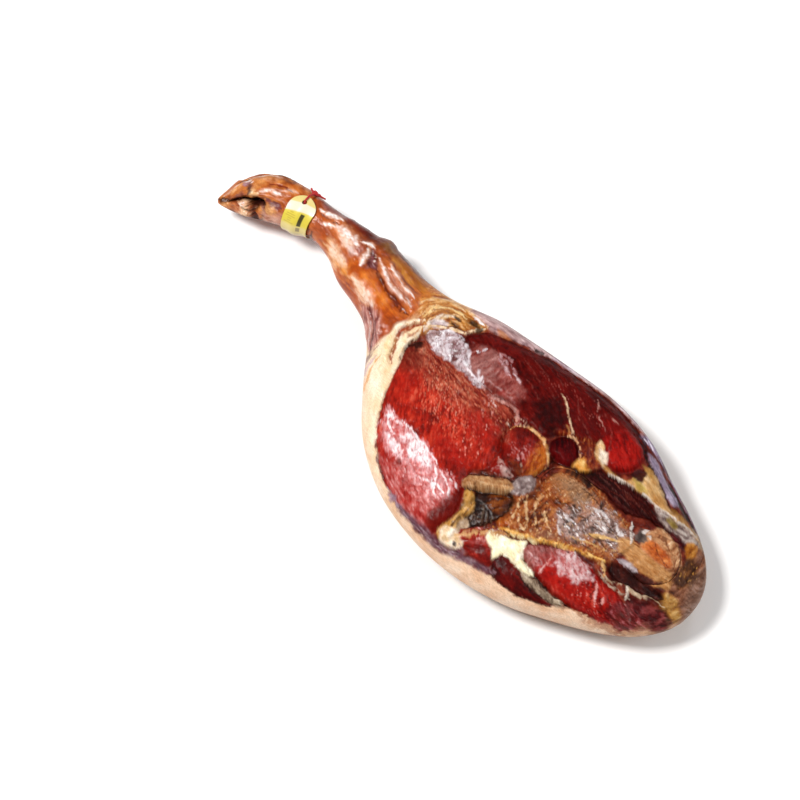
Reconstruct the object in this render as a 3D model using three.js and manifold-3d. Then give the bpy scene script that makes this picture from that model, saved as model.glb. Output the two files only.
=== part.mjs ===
// A whole dry-cured ham on the bone: trotter, shank and a leaf-shaped leg, lying on its rind with the cut face up.
// Millimetres, +Z up. The origin is under the middle of the ham, on the surface that it lies on, and the trotter
// points to -X. Four solids: the ham itself, the bare hip bone let into its cut face, the card tag bent round the
// ankle, and the string that ties the tag on.
import * as THREE from "three";
import { mergeVertices } from "three/addons/utils/BufferGeometryUtils.js";
import Module from "manifold-3d";

const wasm = await Module();
wasm.setup();

// Driving dimensions
const HAM_LENGTH = 662;
const LEG_WIDTH = 246;
const LEG_THICKNESS = 78; // belly to the cut face, before the muscles rise from it
const ANKLE_WIDTH = 40;
const FIT_GAP = 0.4; // left between two solids that touch

// Mesh steps
const LEG_STEP = 7.6; // between rings along the leg
const SHANK_STEP = 9; // between rings along the shank and trotter
const TOP_SPANS = 50; // round the upper half of a ring
const BELLY_SPANS = 14; // round the lower half

const HALF_LENGTH = HAM_LENGTH / 2;
const HALF_WIDTH = LEG_WIDTH / 2;
const HALF_ANKLE = ANKLE_WIDTH / 2;
const LEG_SIDE = 0.475 * LEG_THICKNESS; // height of the leg's widest line
const LEG_RISE = LEG_THICKNESS - LEG_SIDE;
const BELLY_SINK = 2; // how far the round belly is cut off, as the flat that it lies on

// The ham's own line. Each station: place along and across, turn of the section in degrees, half width,
// height of the widest line, rise above it and drop below it.
const TIP_SIDE = 33;
const STATIONS = [
  [-HALF_LENGTH + 1, 25, 48, 0, TIP_SIDE, 0, 0],
  [-HALF_LENGTH + 7, 33, 42, 10, TIP_SIDE, 8, 8],
  [-312, 51, 30, 25, 36, 17, 14],
  [-286, 66, 20, 30, 41, 23, 19],
  [-258, 71, 11, 25, 44, 22, 20],
  [-224, 75, 0, HALF_ANKLE, 46, 20, 19],
  [-190, 74, -6, 24, 45, 22, 21],
  [-160, 70, -9, 34, 44, 25, 25],
  [-132, 66, -12, 37, 43, 27, 28],
  [-104, 59, -15, 40, 41, 28, 31],
  [-76, 50, -15, 52, 39, 30, 34],
  [-47, 35, -10, 74, 38, 32, 36],
  [-14, 18, -4, 97, LEG_SIDE, 34, LEG_SIDE + 1],
  [30, 5, 0, 0.92 * HALF_WIDTH, LEG_SIDE, 37, LEG_SIDE + BELLY_SINK],
  [85, 0, 0, 0.99 * HALF_WIDTH, LEG_SIDE, 0.98 * LEG_RISE, LEG_SIDE + BELLY_SINK],
  [138, 0, 0, HALF_WIDTH, LEG_SIDE, LEG_RISE, LEG_SIDE + BELLY_SINK],
  [190, 0, 0, 0.92 * HALF_WIDTH, LEG_SIDE, LEG_RISE, LEG_SIDE + BELLY_SINK],
  [236, -1, 0, 93, LEG_SIDE, 38, LEG_SIDE],
  [274, 0, 0, 75, LEG_SIDE, 33, 32],
  [302, 1, 0, 57, LEG_SIDE, 26, 25],
  [320, 2, 0, 37, LEG_SIDE, 17, 16],
  [HALF_LENGTH - 2, 2, 0, 18, LEG_SIDE, 8, 8],
  [HALF_LENGTH, 2, 0, 0, LEG_SIDE, 0, 0],
];

// The bare hip bone, as a lump of its own along the cut face, in the same columns.
const BONE_STATIONS = [
  [143, 4, 0, 0, 73, 0, 0],
  [147, 5, 0, 10, 74, 5, 6],
  [161, 6, 0, 17, 75, 9, 12],
  [182, 5, 0, 19, 76, 9, 14],
  [208, 2, 0, 17, 75, 8, 13],
  [234, 2, 0, 16, 72, 8, 12],
  [258, 7, 0, 22, 69, 9, 13],
  [280, 10, 0, 25, 65, 9, 13],
  [294, 10, 0, 15, 62, 6, 8],
  [299, 10, 0, 0, 61, 0, 0],
];

// Muscles that swell out of the cut face: place, half length, half width, turn in degrees, rise, and how far the
// groove round it sinks.
const MUSCLES = [
  { x: 44, y: -34, long: 98, wide: 66, turn: -16, rise: 8, groove: 4 }, // inside round
  { x: 42, y: 66, long: 84, wide: 28, turn: 2, rise: 4, groove: 3 }, // along the far side
  { x: 116, y: 84, long: 52, wide: 22, turn: -18, rise: 4, groove: 3 },
  { x: 180, y: 76, long: 33, wide: 23, turn: -42, rise: 5, groove: 4 },
  { x: 142, y: 35, long: 19, wide: 15, turn: 0, rise: 2, groove: 5 },
  { x: 226, y: 37, long: 64, wide: 9, turn: 4, rise: -3, groove: 4 },
  { x: 160, y: -34, long: 32, wide: 25, turn: 28, rise: 5, groove: 3 }, // dried flesh against the bone
  { x: 232, y: -58, long: 58, wide: 19, turn: 12, rise: 6, groove: 5 },
  { x: 278, y: -24, long: 27, wide: 7, turn: 12, rise: -4, groove: 2 },
  { x: 300, y: -37, long: 24, wide: 9, turn: 32, rise: 2, groove: 3 },
  { x: 200, y: -95, long: 38, wide: 8, turn: 8, rise: -1, groove: 3 },
];

const GROOVE_HALF = 7;

// Ridges of fat and sinew, and the hollows beside them, along straight stretches of the cut face and the shank.
const RIDGES = [
  { from: [90, -58], to: [130, -30], half: 9, rise: 4 },
  { from: [106, -66], to: [106, -102], half: 9, rise: 4 },
  { from: [128, -96], to: [188, -72], half: 10, rise: 4 },
  { from: [170, -66], to: [240, -26], half: 7, rise: 3 },
  { from: [196, -82], to: [238, -83], half: 7, rise: 3 },
  { from: [160, 56], to: [246, 58], half: 8, rise: 3 },
  { from: [122, -86], to: [134, -58], half: 14, rise: -8 },
  { from: [138, -10], to: [140, 18], half: 8, rise: -7 },
];

// Sinews, hollows and joints under the shank's skin, standing out from or into the skin.
const SHANK_FORMS = [
  { from: [-146, 66], to: [-78, 50], half: 5, rise: -4 },
  { from: [-112, 78], to: [-80, 72], half: 5, rise: -2.5 },
  { from: [-140, 50], to: [-84, 34], half: 9, rise: 3 },
  { from: [-152, 100], to: [-148, 90], half: 12, rise: 4 },
  { from: [-196, 95], to: [-178, 92], half: 10, rise: 2 },
  { from: [-206, 76], to: [-180, 68], half: 8, rise: 2 },
  { from: [-326, 36], to: [-280, 44], half: 5, rise: -7 }, // cleft between the toes
  { from: [-298, 52], to: [-292, 55], half: 6, rise: 4 }, // dewclaw
  { from: [-286, 60], to: [-276, 64], half: 7, rise: 3 },
  { from: [-308, 62], to: [-304, 66], half: 6, rise: -3 },
];

// The line where the rind stops: the face lies lower than the skin by this much.
const RIND_EDGE_X = -68;
const RIND_EDGE_STEP = 3;

const degrees = (a) => (a * Math.PI) / 180;
const clamp01 = (t) => Math.min(1, Math.max(0, t));

function smooth(low, high, value) {
  const t = clamp01((value - low) / (high - low));
  return t * t * (3 - 2 * t);
}

// A station's values at u, by a Catmull-Rom spline through the rows. A mirrored row past each end makes round caps.
function stationAt(rows, u) {
  const mirrored = (row) => [row[0], row[1], row[2], -row[3], row[4], -row[5], -row[6]];
  const last = rows.length - 1;
  const i = Math.min(last - 1, Math.floor(u));
  const f = u - i;
  const p0 = i === 0 ? mirrored(rows[1]) : rows[i - 1];
  const p1 = rows[i];
  const p2 = rows[i + 1];
  const p3 = i === last - 1 ? mirrored(rows[last - 1]) : rows[i + 2];
  const [x, y, turn, half, side, rise, drop] = p1.map(
    (b, k) =>
      0.5 *
      (2 * b +
        (p2[k] - p0[k]) * f +
        (2 * p0[k] - 5 * b + 4 * p2[k] - p3[k]) * f * f +
        (3 * b - p0[k] - 3 * p2[k] + p3[k]) * f * f * f),
  );
  return { x, y, turn: degrees(turn), half, side, rise, drop };
}

// Where the rings stand, evenly spaced along the surface, so that they crowd together at the round ends.
function ringPlaces(rows, stepAt) {
  const fine = 40;
  const places = [0];
  let gone = 0;
  let before = stationAt(rows, 0);
  for (let k = 1; k < (rows.length - 1) * fine; k++) {
    const now = stationAt(rows, k / fine);
    gone += Math.hypot(now.x - before.x, now.y - before.y, now.half - before.half);
    before = now;
    if (gone >= stepAt(now.x)) {
      places.push(k / fine);
      gone = 0;
    }
  }
  places.push(rows.length - 1);
  return places;
}

// One ring of unit places round a section: across from -1 to 1, and up from -1 to 1. The upper half comes first.
function unitRing(topSpans, bellySpans) {
  const ring = [];
  const lean = 0.4; // 0 crowds the places to the sides, 1 spreads them evenly
  const across = (s) => (1 - lean) * Math.cos(Math.PI * s) + lean * (1 - 2 * s);
  for (let j = 0; j < topSpans; j++) ring.push({ across: across(j / topSpans), up: 1 });
  for (let j = 0; j < bellySpans; j++) ring.push({ across: -across(j / bellySpans), up: -1 });
  return ring;
}

// A point of a section's rim. Wide sections are flatter on top and below than a circle is.
function sectionPoint(s, place, grow) {
  const flat = smooth(45, 110, s.half);
  const power = place.up > 0 ? 2 + 0.6 * flat : 2 + 0.3 * flat;
  const height = (1 - Math.min(1, Math.abs(place.across)) ** power) ** (1 / power);
  const out = new THREE.Vector2(place.across, place.up * height);
  const across = s.half * out.x + grow * out.x;
  const up = (out.y > 0 ? s.rise : s.drop) * out.y + grow * out.y;
  return {
    point: new THREE.Vector3(s.x - Math.sin(s.turn) * across, s.y + Math.cos(s.turn) * across, s.side + up),
    outward: new THREE.Vector3(-Math.sin(s.turn) * out.x, Math.cos(s.turn) * out.x, out.y).normalize(),
  };
}

// Rises and sinks of the cut face at a place, as seen from above.
function muscleRelief(x, y) {
  let height = 0;
  let groove = 0;
  for (const m of MUSCLES) {
    const a = degrees(m.turn);
    const along = ((x - m.x) * Math.cos(a) + (y - m.y) * Math.sin(a)) / m.long;
    const across = (-(x - m.x) * Math.sin(a) + (y - m.y) * Math.cos(a)) / m.wide;
    const r = Math.hypot(along, across);
    if (r < 1) height += m.rise * (1 - r ** 5);
    const away = ((r - 1) * m.wide) / GROOVE_HALF;
    groove = Math.max(groove, m.groove * Math.exp(-away * away));
  }
  return height - groove;
}

function ridgeRelief(forms, x, y) {
  let height = 0;
  for (const form of forms) {
    const [ax, ay] = form.from;
    const dx = form.to[0] - ax;
    const dy = form.to[1] - ay;
    const t = clamp01(((x - ax) * dx + (y - ay) * dy) / (dx * dx + dy * dy));
    const away = Math.hypot(x - ax - t * dx, y - ay - t * dy) / form.half;
    height += form.rise * Math.exp(-away * away);
  }
  return height;
}

// The ham's skin and face: the section's point, moved by the relief of the face or of the shank.
function hamPoint(s, place) {
  const { point, outward } = sectionPoint(s, place, 0);
  const upper = smooth(0.15, 0.6, outward.z);
  const onFace = smooth(RIND_EDGE_X, RIND_EDGE_X + 8, point.x) * upper;
  const onShank = (1 - smooth(RIND_EDGE_X - 6, RIND_EDGE_X, point.x)) * smooth(-0.2, 0.3, outward.z);
  const body = smooth(0, 30, s.half);
  point.z += onFace * body * (muscleRelief(point.x, point.y) + ridgeRelief(RIDGES, point.x, point.y) - RIND_EDGE_STEP);
  point.addScaledVector(outward, onShank * smooth(6, 20, s.half) * ridgeRelief(SHANK_FORMS, point.x, point.y));
  point.z = Math.max(0, point.z);
  return point;
}

// Joins rings of points into a closed skin, each four points by their shorter diagonal. Its first and last rings
// are single points.
function skinOver(rings) {
  const n = rings[1].length;
  const positions = [];
  const put = (...points) => points.forEach((p) => positions.push(p.x, p.y, p.z));
  for (let i = 0; i + 1 < rings.length; i++) {
    for (let j = 0; j < n; j++) {
      const k = (j + 1) % n;
      const [a, b] = [rings[i][j % rings[i].length], rings[i][k % rings[i].length]];
      const [c, d] = [rings[i + 1][j % rings[i + 1].length], rings[i + 1][k % rings[i + 1].length]];
      if (a.distanceToSquared(d) < b.distanceToSquared(c)) put(a, b, d, a, d, c);
      else put(a, b, c, b, d, c);
    }
  }
  return new THREE.BufferGeometry().setAttribute("position", new THREE.Float32BufferAttribute(positions, 3));
}

// A three.js geometry as a manifold-3d solid. Triangles that merging made thin are left out.
function solidFrom(geometry) {
  const bare = new THREE.BufferGeometry().setAttribute(
    "position",
    (geometry.index ? geometry.toNonIndexed() : geometry).getAttribute("position"),
  );
  const merged = mergeVertices(bare, 1e-3);
  const kept = [];
  for (let i = 0; i < merged.index.count; i += 3) {
    const [a, b, c] = [0, 1, 2].map((k) => merged.index.getX(i + k));
    if (a !== b && b !== c && c !== a) kept.push(a, b, c);
  }
  const vertProperties = new Float32Array(merged.attributes.position.array);
  return new wasm.Manifold(new wasm.Mesh({ numProp: 3, vertProperties, triVerts: new Uint32Array(kept) }));
}

function geometryFrom(solid) {
  const mesh = solid.getMesh();
  const geometry = new THREE.BufferGeometry();
  geometry.setAttribute("position", new THREE.BufferAttribute(mesh.vertProperties, 3));
  geometry.setIndex(new THREE.BufferAttribute(mesh.triVerts, 1));
  geometry.computeVertexNormals();
  return geometry;
}

function hamSolid() {
  const ring = unitRing(TOP_SPANS, BELLY_SPANS);
  const stepAt = (x) => (x < RIND_EDGE_X - 20 ? SHANK_STEP : LEG_STEP);
  const rings = ringPlaces(STATIONS, stepAt).map((u) => {
    const s = stationAt(STATIONS, u);
    if (s.half < 0.01) return [hamPoint(s, { across: 0, up: 1 })];
    const points = ring.map((place) => hamPoint(s, place));
    // The shank is thin enough for every second point, so the others fall on their neighbours.
    return s.x < RIND_EDGE_X - 20 ? points.map((p, j) => points[j - (j % 2)]) : points;
  });
  return solidFrom(skinOver(rings));
}

function boneSolid(grow) {
  const ring = unitRing(12, 8);
  const lumps = (s, j) => 0.8 * Math.sin(s.x * 0.21 + 2 * Math.sin(j)) * smooth(4, 14, s.half);
  const rings = ringPlaces(BONE_STATIONS, () => 8).map((u) => {
    const s = stationAt(BONE_STATIONS, u);
    if (s.half < 0.01) {
      const end = new THREE.Vector3(s.x + (s.x < 200 ? -grow : grow), s.y, s.side);
      return [end];
    }
    return ring.map((place, j) => {
      const { point, outward } = sectionPoint(s, place, grow);
      return point.addScaledVector(outward, lumps(s, j));
    });
  });
  return solidFrom(skinOver(rings));
}

// The tag and its string, both placed by the angle round the ankle and the distance from its skin.
const TAG = {
  along: 4.45, // station number at the middle of the tag
  stationsPerMm: 1 / 31,
  width: 30,
  length: 62,
  thick: 0.8,
  startAngle: 78,
  holeAt: 7,
  holeRadius: 2.4,
};
const STRING_RADIUS = 1.1;
const STRING_OFF = STRING_RADIUS + FIT_GAP;

// A point at an angle round the ankle, in degrees from the far side over the top, off the skin by some distance.
function roundAnkle(alongMm, angle, off) {
  const s = stationAt(STATIONS, TAG.along + alongMm * TAG.stationsPerMm);
  const a = degrees(angle);
  const across = Math.cos(a) * (s.half + off);
  const up = Math.sin(a) * ((Math.sin(a) > 0 ? s.rise : s.drop) + off);
  return new THREE.Vector3(s.x - Math.sin(s.turn) * across, s.y + Math.cos(s.turn) * across, s.side + up);
}

const ankleGirthRadius = 23.5;
const tagAngle = (mm) => TAG.startAngle + (mm / ankleGirthRadius) * (180 / Math.PI);

// The card stands off the skin where the string runs under it, and lies nearly on it at its edges.
const tagOff = (alongMm) => 1.6 + (2 * STRING_RADIUS + 0.4) * Math.exp(-((alongMm / 7) ** 2));

function tagSolid() {
  const across = 10;
  const down = 14;
  const radius = TAG.width / 2;
  const rows = [];
  for (let j = 0; j <= down; j++) {
    const mm = TAG.length * (j / down) ** 1.25;
    const half = mm < radius ? Math.sqrt(radius ** 2 - (radius - mm) ** 2) : radius;
    const outer = [];
    const inner = [];
    for (let i = 0; i <= across; i++) {
      const along = (2 * (i / across) - 1) * Math.max(half, 0.5);
      outer.push(roundAnkle(along, tagAngle(mm), tagOff(along) + TAG.thick));
      inner.unshift(roundAnkle(along, tagAngle(mm), tagOff(along)));
    }
    rows.push([...outer, ...inner].reverse());
  }
  const middle = (row) => row[Math.floor(across / 2)].clone().lerp(row[across + 1 + Math.floor(across / 2)], 0.5);
  const card = solidFrom(skinOver([[middle(rows[0])], ...rows, [middle(rows[down])]]));
  const holeCentre = roundAnkle(0, tagAngle(TAG.holeAt), tagOff(0));
  const outward = roundAnkle(0, tagAngle(TAG.holeAt), tagOff(0) + 1).sub(holeCentre).normalize();
  const punch = new THREE.CylinderGeometry(TAG.holeRadius, TAG.holeRadius, 8, 14);
  punch.applyQuaternion(new THREE.Quaternion().setFromUnitVectors(new THREE.Vector3(0, 1, 0), outward));
  punch.translate(holeCentre.x, holeCentre.y, holeCentre.z);
  return card.subtract(solidFrom(punch));
}

function tubeAlong(points, radius, sides, closed) {
  const curve = new THREE.CatmullRomCurve3(points, closed, "centripetal");
  const section = new THREE.Shape(
    Array.from({ length: sides }, (_, k) => {
      const a = (2 * Math.PI * k) / sides;
      return new THREE.Vector2(radius * Math.cos(a), radius * Math.sin(a));
    }),
  );
  if (!closed) return new THREE.ExtrudeGeometry(section, { extrudePath: curve, steps: 8, bevelEnabled: false });
  return new THREE.TubeGeometry(curve, 64, radius, sides, true);
}

// The string runs round the ankle under the card, up through the hole, and back over the card's end to the knot.
function stringSolid() {
  const holeAngle = tagAngle(TAG.holeAt);
  const over = tagOff(0) + TAG.thick + STRING_RADIUS + FIT_GAP;
  const knotAngle = 52;
  const path = [];
  for (let k = 0; k <= 20; k++) path.push([knotAngle - 8 - ((knotAngle - 8 + 360 - holeAngle - 4) * k) / 20, STRING_OFF]);
  path.push([holeAngle + 1, STRING_OFF + 1.2], [holeAngle, over - 0.9], [holeAngle - 5, over], [holeAngle - 14, over]);
  path.push([TAG.startAngle - 4, over - 0.4], [knotAngle + 6, 3.4]);
  const loop = tubeAlong(path.map(([angle, off]) => roundAnkle(0, angle, off)), STRING_RADIUS, 6, true);
  const pieces = [solidFrom(loop)];
  const knot = roundAnkle(0, knotAngle, 3.2);
  for (const [dx, dy, dz, r] of [
    [0, 0, 0, 2.7],
    [2.2, 0.6, -0.4, 2.2],
    [-2, 0.8, 0.3, 2.1],
  ]) {
    const lump = new THREE.IcosahedronGeometry(r, 1);
    lump.translate(knot.x + dx, knot.y + dy, knot.z + dz);
    pieces.push(solidFrom(lump));
  }
  for (const side of [-1, 1]) {
    const end = (along, angle, off) => roundAnkle(side * along, knotAngle + angle, off);
    const tail = [knot.clone(), end(4, -2, 3.4), end(8, -9, 2.6), end(11, -20, 2.2)];
    pieces.push(solidFrom(tubeAlong(tail, STRING_RADIUS * 0.85, 6, false)));
  }
  return pieces.reduce((whole, piece) => whole.add(piece));
}

function node(name, solid, color, roughness) {
  const material = new THREE.MeshStandardMaterial({ color, roughness, metalness: 0 });
  const mesh = new THREE.Mesh(geometryFrom(solid), material);
  mesh.name = name;
  return mesh;
}

const ham = new THREE.Group();
ham.name = "cured_ham";
ham.add(
  node("ham", hamSolid().subtract(boneSolid(FIT_GAP)), "#8c2b1c", 0.35),
  node("hip_bone", boneSolid(0), "#a8815c", 0.55),
  node("tag", tagSolid(), "#efd977", 0.5),
  node("string", stringSolid(), "#b3241d", 0.8),
);
export default ham;
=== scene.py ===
"""A whole dry-cured ham on the bone, lying on its rind with the cut face up.

The frame holds four solids: the ham, the bare hip bone in its cut face, the card tag round the ankle and
the string that ties it on. Each is replaced here by a fine mesh of the same form. Sizes and places are in
millimetres, in the frame's own axes, and the meshes are made in metres. A place on the ham is given as it
is seen from above.
"""

import math

import bpy
import numpy as np
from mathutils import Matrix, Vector


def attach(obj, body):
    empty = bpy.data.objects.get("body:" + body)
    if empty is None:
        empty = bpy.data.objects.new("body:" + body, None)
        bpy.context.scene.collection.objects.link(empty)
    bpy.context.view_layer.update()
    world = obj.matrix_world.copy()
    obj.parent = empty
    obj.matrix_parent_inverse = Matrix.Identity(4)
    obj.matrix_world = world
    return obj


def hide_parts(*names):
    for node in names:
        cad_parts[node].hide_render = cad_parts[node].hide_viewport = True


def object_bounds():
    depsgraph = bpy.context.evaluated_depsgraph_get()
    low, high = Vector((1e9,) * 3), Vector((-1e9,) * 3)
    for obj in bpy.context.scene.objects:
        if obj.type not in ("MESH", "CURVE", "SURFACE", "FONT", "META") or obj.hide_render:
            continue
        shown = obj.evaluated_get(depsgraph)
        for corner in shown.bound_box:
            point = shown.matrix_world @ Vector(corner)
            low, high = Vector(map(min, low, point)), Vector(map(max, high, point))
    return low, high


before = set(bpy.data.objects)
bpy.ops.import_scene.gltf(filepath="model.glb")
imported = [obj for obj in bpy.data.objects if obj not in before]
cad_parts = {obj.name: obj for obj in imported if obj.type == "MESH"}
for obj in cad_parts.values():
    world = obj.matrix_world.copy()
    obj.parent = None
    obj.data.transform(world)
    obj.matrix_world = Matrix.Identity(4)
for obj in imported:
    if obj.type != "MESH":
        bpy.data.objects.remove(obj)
CAD_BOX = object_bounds()

MM = 0.001

# Camera, at the photograph's viewing angle
VIEW_TURN = math.radians(42.5)
VIEW_RISE = math.radians(64)
VIEW_DISTANCE = 1888
VIEW_TARGET = (-22.8, -22.7, 48)
LENS = 85

# Driving dimensions, the same as the frame's
HAM_LENGTH = 662
LEG_WIDTH = 246
LEG_THICKNESS = 78
ANKLE_WIDTH = 40
HALF_LENGTH = HAM_LENGTH / 2
HALF_WIDTH = LEG_WIDTH / 2
HALF_ANKLE = ANKLE_WIDTH / 2
LEG_SIDE = 0.475 * LEG_THICKNESS
LEG_RISE = LEG_THICKNESS - LEG_SIDE
BELLY_SINK = 2
TIP_SIDE = 33

# Sections from the toes to the butt: place along and across, turn in degrees, half width, height of the
# widest line, rise above it and drop below it
STATIONS = [
    (-HALF_LENGTH + 1, 25, 48, 0, TIP_SIDE, 0, 0),
    (-HALF_LENGTH + 7, 33, 42, 10, TIP_SIDE, 8, 8),
    (-312, 51, 30, 25, 36, 17, 14),
    (-286, 66, 20, 30, 41, 23, 19),
    (-258, 71, 11, 25, 44, 22, 20),
    (-224, 75, 0, HALF_ANKLE, 46, 20, 19),
    (-190, 74, -6, 24, 45, 22, 21),
    (-160, 70, -9, 34, 44, 25, 25),
    (-132, 66, -12, 37, 43, 27, 28),
    (-104, 59, -15, 40, 41, 28, 31),
    (-76, 50, -15, 52, 39, 30, 34),
    (-47, 35, -10, 74, 38, 32, 36),
    (-14, 18, -4, 97, LEG_SIDE, 34, LEG_SIDE + 1),
    (30, 5, 0, 0.92 * HALF_WIDTH, LEG_SIDE, 37, LEG_SIDE + BELLY_SINK),
    (85, 0, 0, 0.99 * HALF_WIDTH, LEG_SIDE, 0.98 * LEG_RISE, LEG_SIDE + BELLY_SINK),
    (138, 0, 0, HALF_WIDTH, LEG_SIDE, LEG_RISE, LEG_SIDE + BELLY_SINK),
    (190, 0, 0, 0.92 * HALF_WIDTH, LEG_SIDE, LEG_RISE, LEG_SIDE + BELLY_SINK),
    (236, -1, 0, 93, LEG_SIDE, 38, LEG_SIDE),
    (274, 0, 0, 75, LEG_SIDE, 33, 32),
    (302, 1, 0, 57, LEG_SIDE, 26, 25),
    (320, 2, 0, 37, LEG_SIDE, 17, 16),
    (HALF_LENGTH - 2, 2, 0, 18, LEG_SIDE, 8, 8),
    (HALF_LENGTH, 2, 0, 0, LEG_SIDE, 0, 0),
]
BONE_STATIONS = [
    (143, 4, 0, 0, 73, 0, 0),
    (147, 5, 0, 10, 74, 5, 6),
    (161, 6, 0, 17, 75, 9, 12),
    (182, 5, 0, 19, 76, 9, 14),
    (208, 2, 0, 17, 75, 8, 13),
    (234, 2, 0, 16, 72, 8, 12),
    (258, 7, 0, 22, 69, 9, 13),
    (280, 10, 0, 25, 65, 9, 13),
    (294, 10, 0, 15, 62, 6, 8),
    (299, 10, 0, 0, 61, 0, 0),
]
RIND_EDGE_X = -68
RIND_EDGE_STEP = 3
TAG_X = -241
WALL_TOP = 60

# Fineness of the meshes: steps between rings and spans across a ring, above and below the widest line
SHANK_RING_STEP = 2.4
FACE_RING_STEP = 1.45
HAM_SPANS = (198, 18)
BONE_RING_STEP = 1.1
BONE_SPANS = (72, 20)
CARD_SPANS = 72
CARD_ROWS = 150

# How far a point that rises by 1 seems to shift along and across, seen from the photograph's viewpoint
SIGHT_X = math.sin(VIEW_TURN) / math.tan(VIEW_RISE)
SIGHT_Y = -math.cos(VIEW_TURN) / math.tan(VIEW_RISE)


# Numbers, noise and curves


def smooth(low, high, value):
    """0 below low, 1 above high, and a soft step between them. With low above high it falls instead."""
    t = np.clip((value - low) / (high - low), 0, 1)
    return t * t * (3 - 2 * t)


LATTICE = np.random.default_rng(11).random((256, 256))


def value_noise(x, y):
    """Smooth random values from 0 to 1, one to a unit square."""
    xi, yi = np.floor(x).astype(int), np.floor(y).astype(int)
    fx, fy = smooth(0, 1, x - xi), smooth(0, 1, y - yi)
    x0, x1, y0, y1 = xi & 255, (xi + 1) & 255, yi & 255, (yi + 1) & 255
    low = LATTICE[x0, y0] * (1 - fx) + LATTICE[x1, y0] * fx
    high = LATTICE[x0, y1] * (1 - fx) + LATTICE[x1, y1] * fx
    return low * (1 - fy) + high * fy


def cloud(x, y, size, seed, octaves=3):
    """Fractal noise, spread over 0 to 1, with blotches of the given size."""
    total, weight, reach = 0, 0, 1
    for octave in range(octaves):
        scale = 2**octave / size
        shift = 37.7 * seed + 11.3 * octave
        total = total + reach * value_noise(x * scale + shift, y * scale - 1.7 * shift)
        weight += reach
        reach *= 0.55
    return np.clip(0.5 + 1.5 * (total / weight - 0.5), 0, 1)


def curve_between(a, b, c, d, f):
    """A Catmull-Rom curve from b, at f = 0, to c, at f = 1, that takes its direction from a and d too."""
    return 0.5 * (2 * b + (c - a) * f + (2 * a - 5 * b + 4 * c - d) * f**2 + (3 * b - a - 3 * c + d) * f**3)


def spline(points, closed, steps=5):
    """A curve through points, as a fine chain of places."""
    p = np.array(points, float)
    ends = (p[-1:], p[:2]) if closed else (2 * p[:1] - p[1:2], 2 * p[-1:] - p[-2:-1])
    p = np.vstack([ends[0], p, ends[1]])
    f = (np.arange(steps) / steps)[:, None]
    spans = [curve_between(*four, f) for four in zip(p, p[1:], p[2:], p[3:])]
    if not closed:
        spans.append(p[-2:-1])
    return np.vstack(spans)


def linear(code):
    """An sRGB hex colour as linear light."""
    srgb = np.array([int(code[i : i + 2], 16) / 255 for i in (0, 2, 4)])
    return np.where(srgb <= 0.04045, srgb / 12.92, ((srgb + 0.055) / 1.055) ** 2.4)


def ramp(codes, t):
    """The colour at t, from 0 to 1, along a row of one or more hex colours."""
    colours = np.array([linear(code) for code in codes.split()])
    stops = np.linspace(0, 1, len(colours))
    return np.stack([np.interp(t, stops, colours[:, k]) for k in range(3)], axis=-1)


# Layers of form and colour on the ham, laid down one over another


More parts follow.
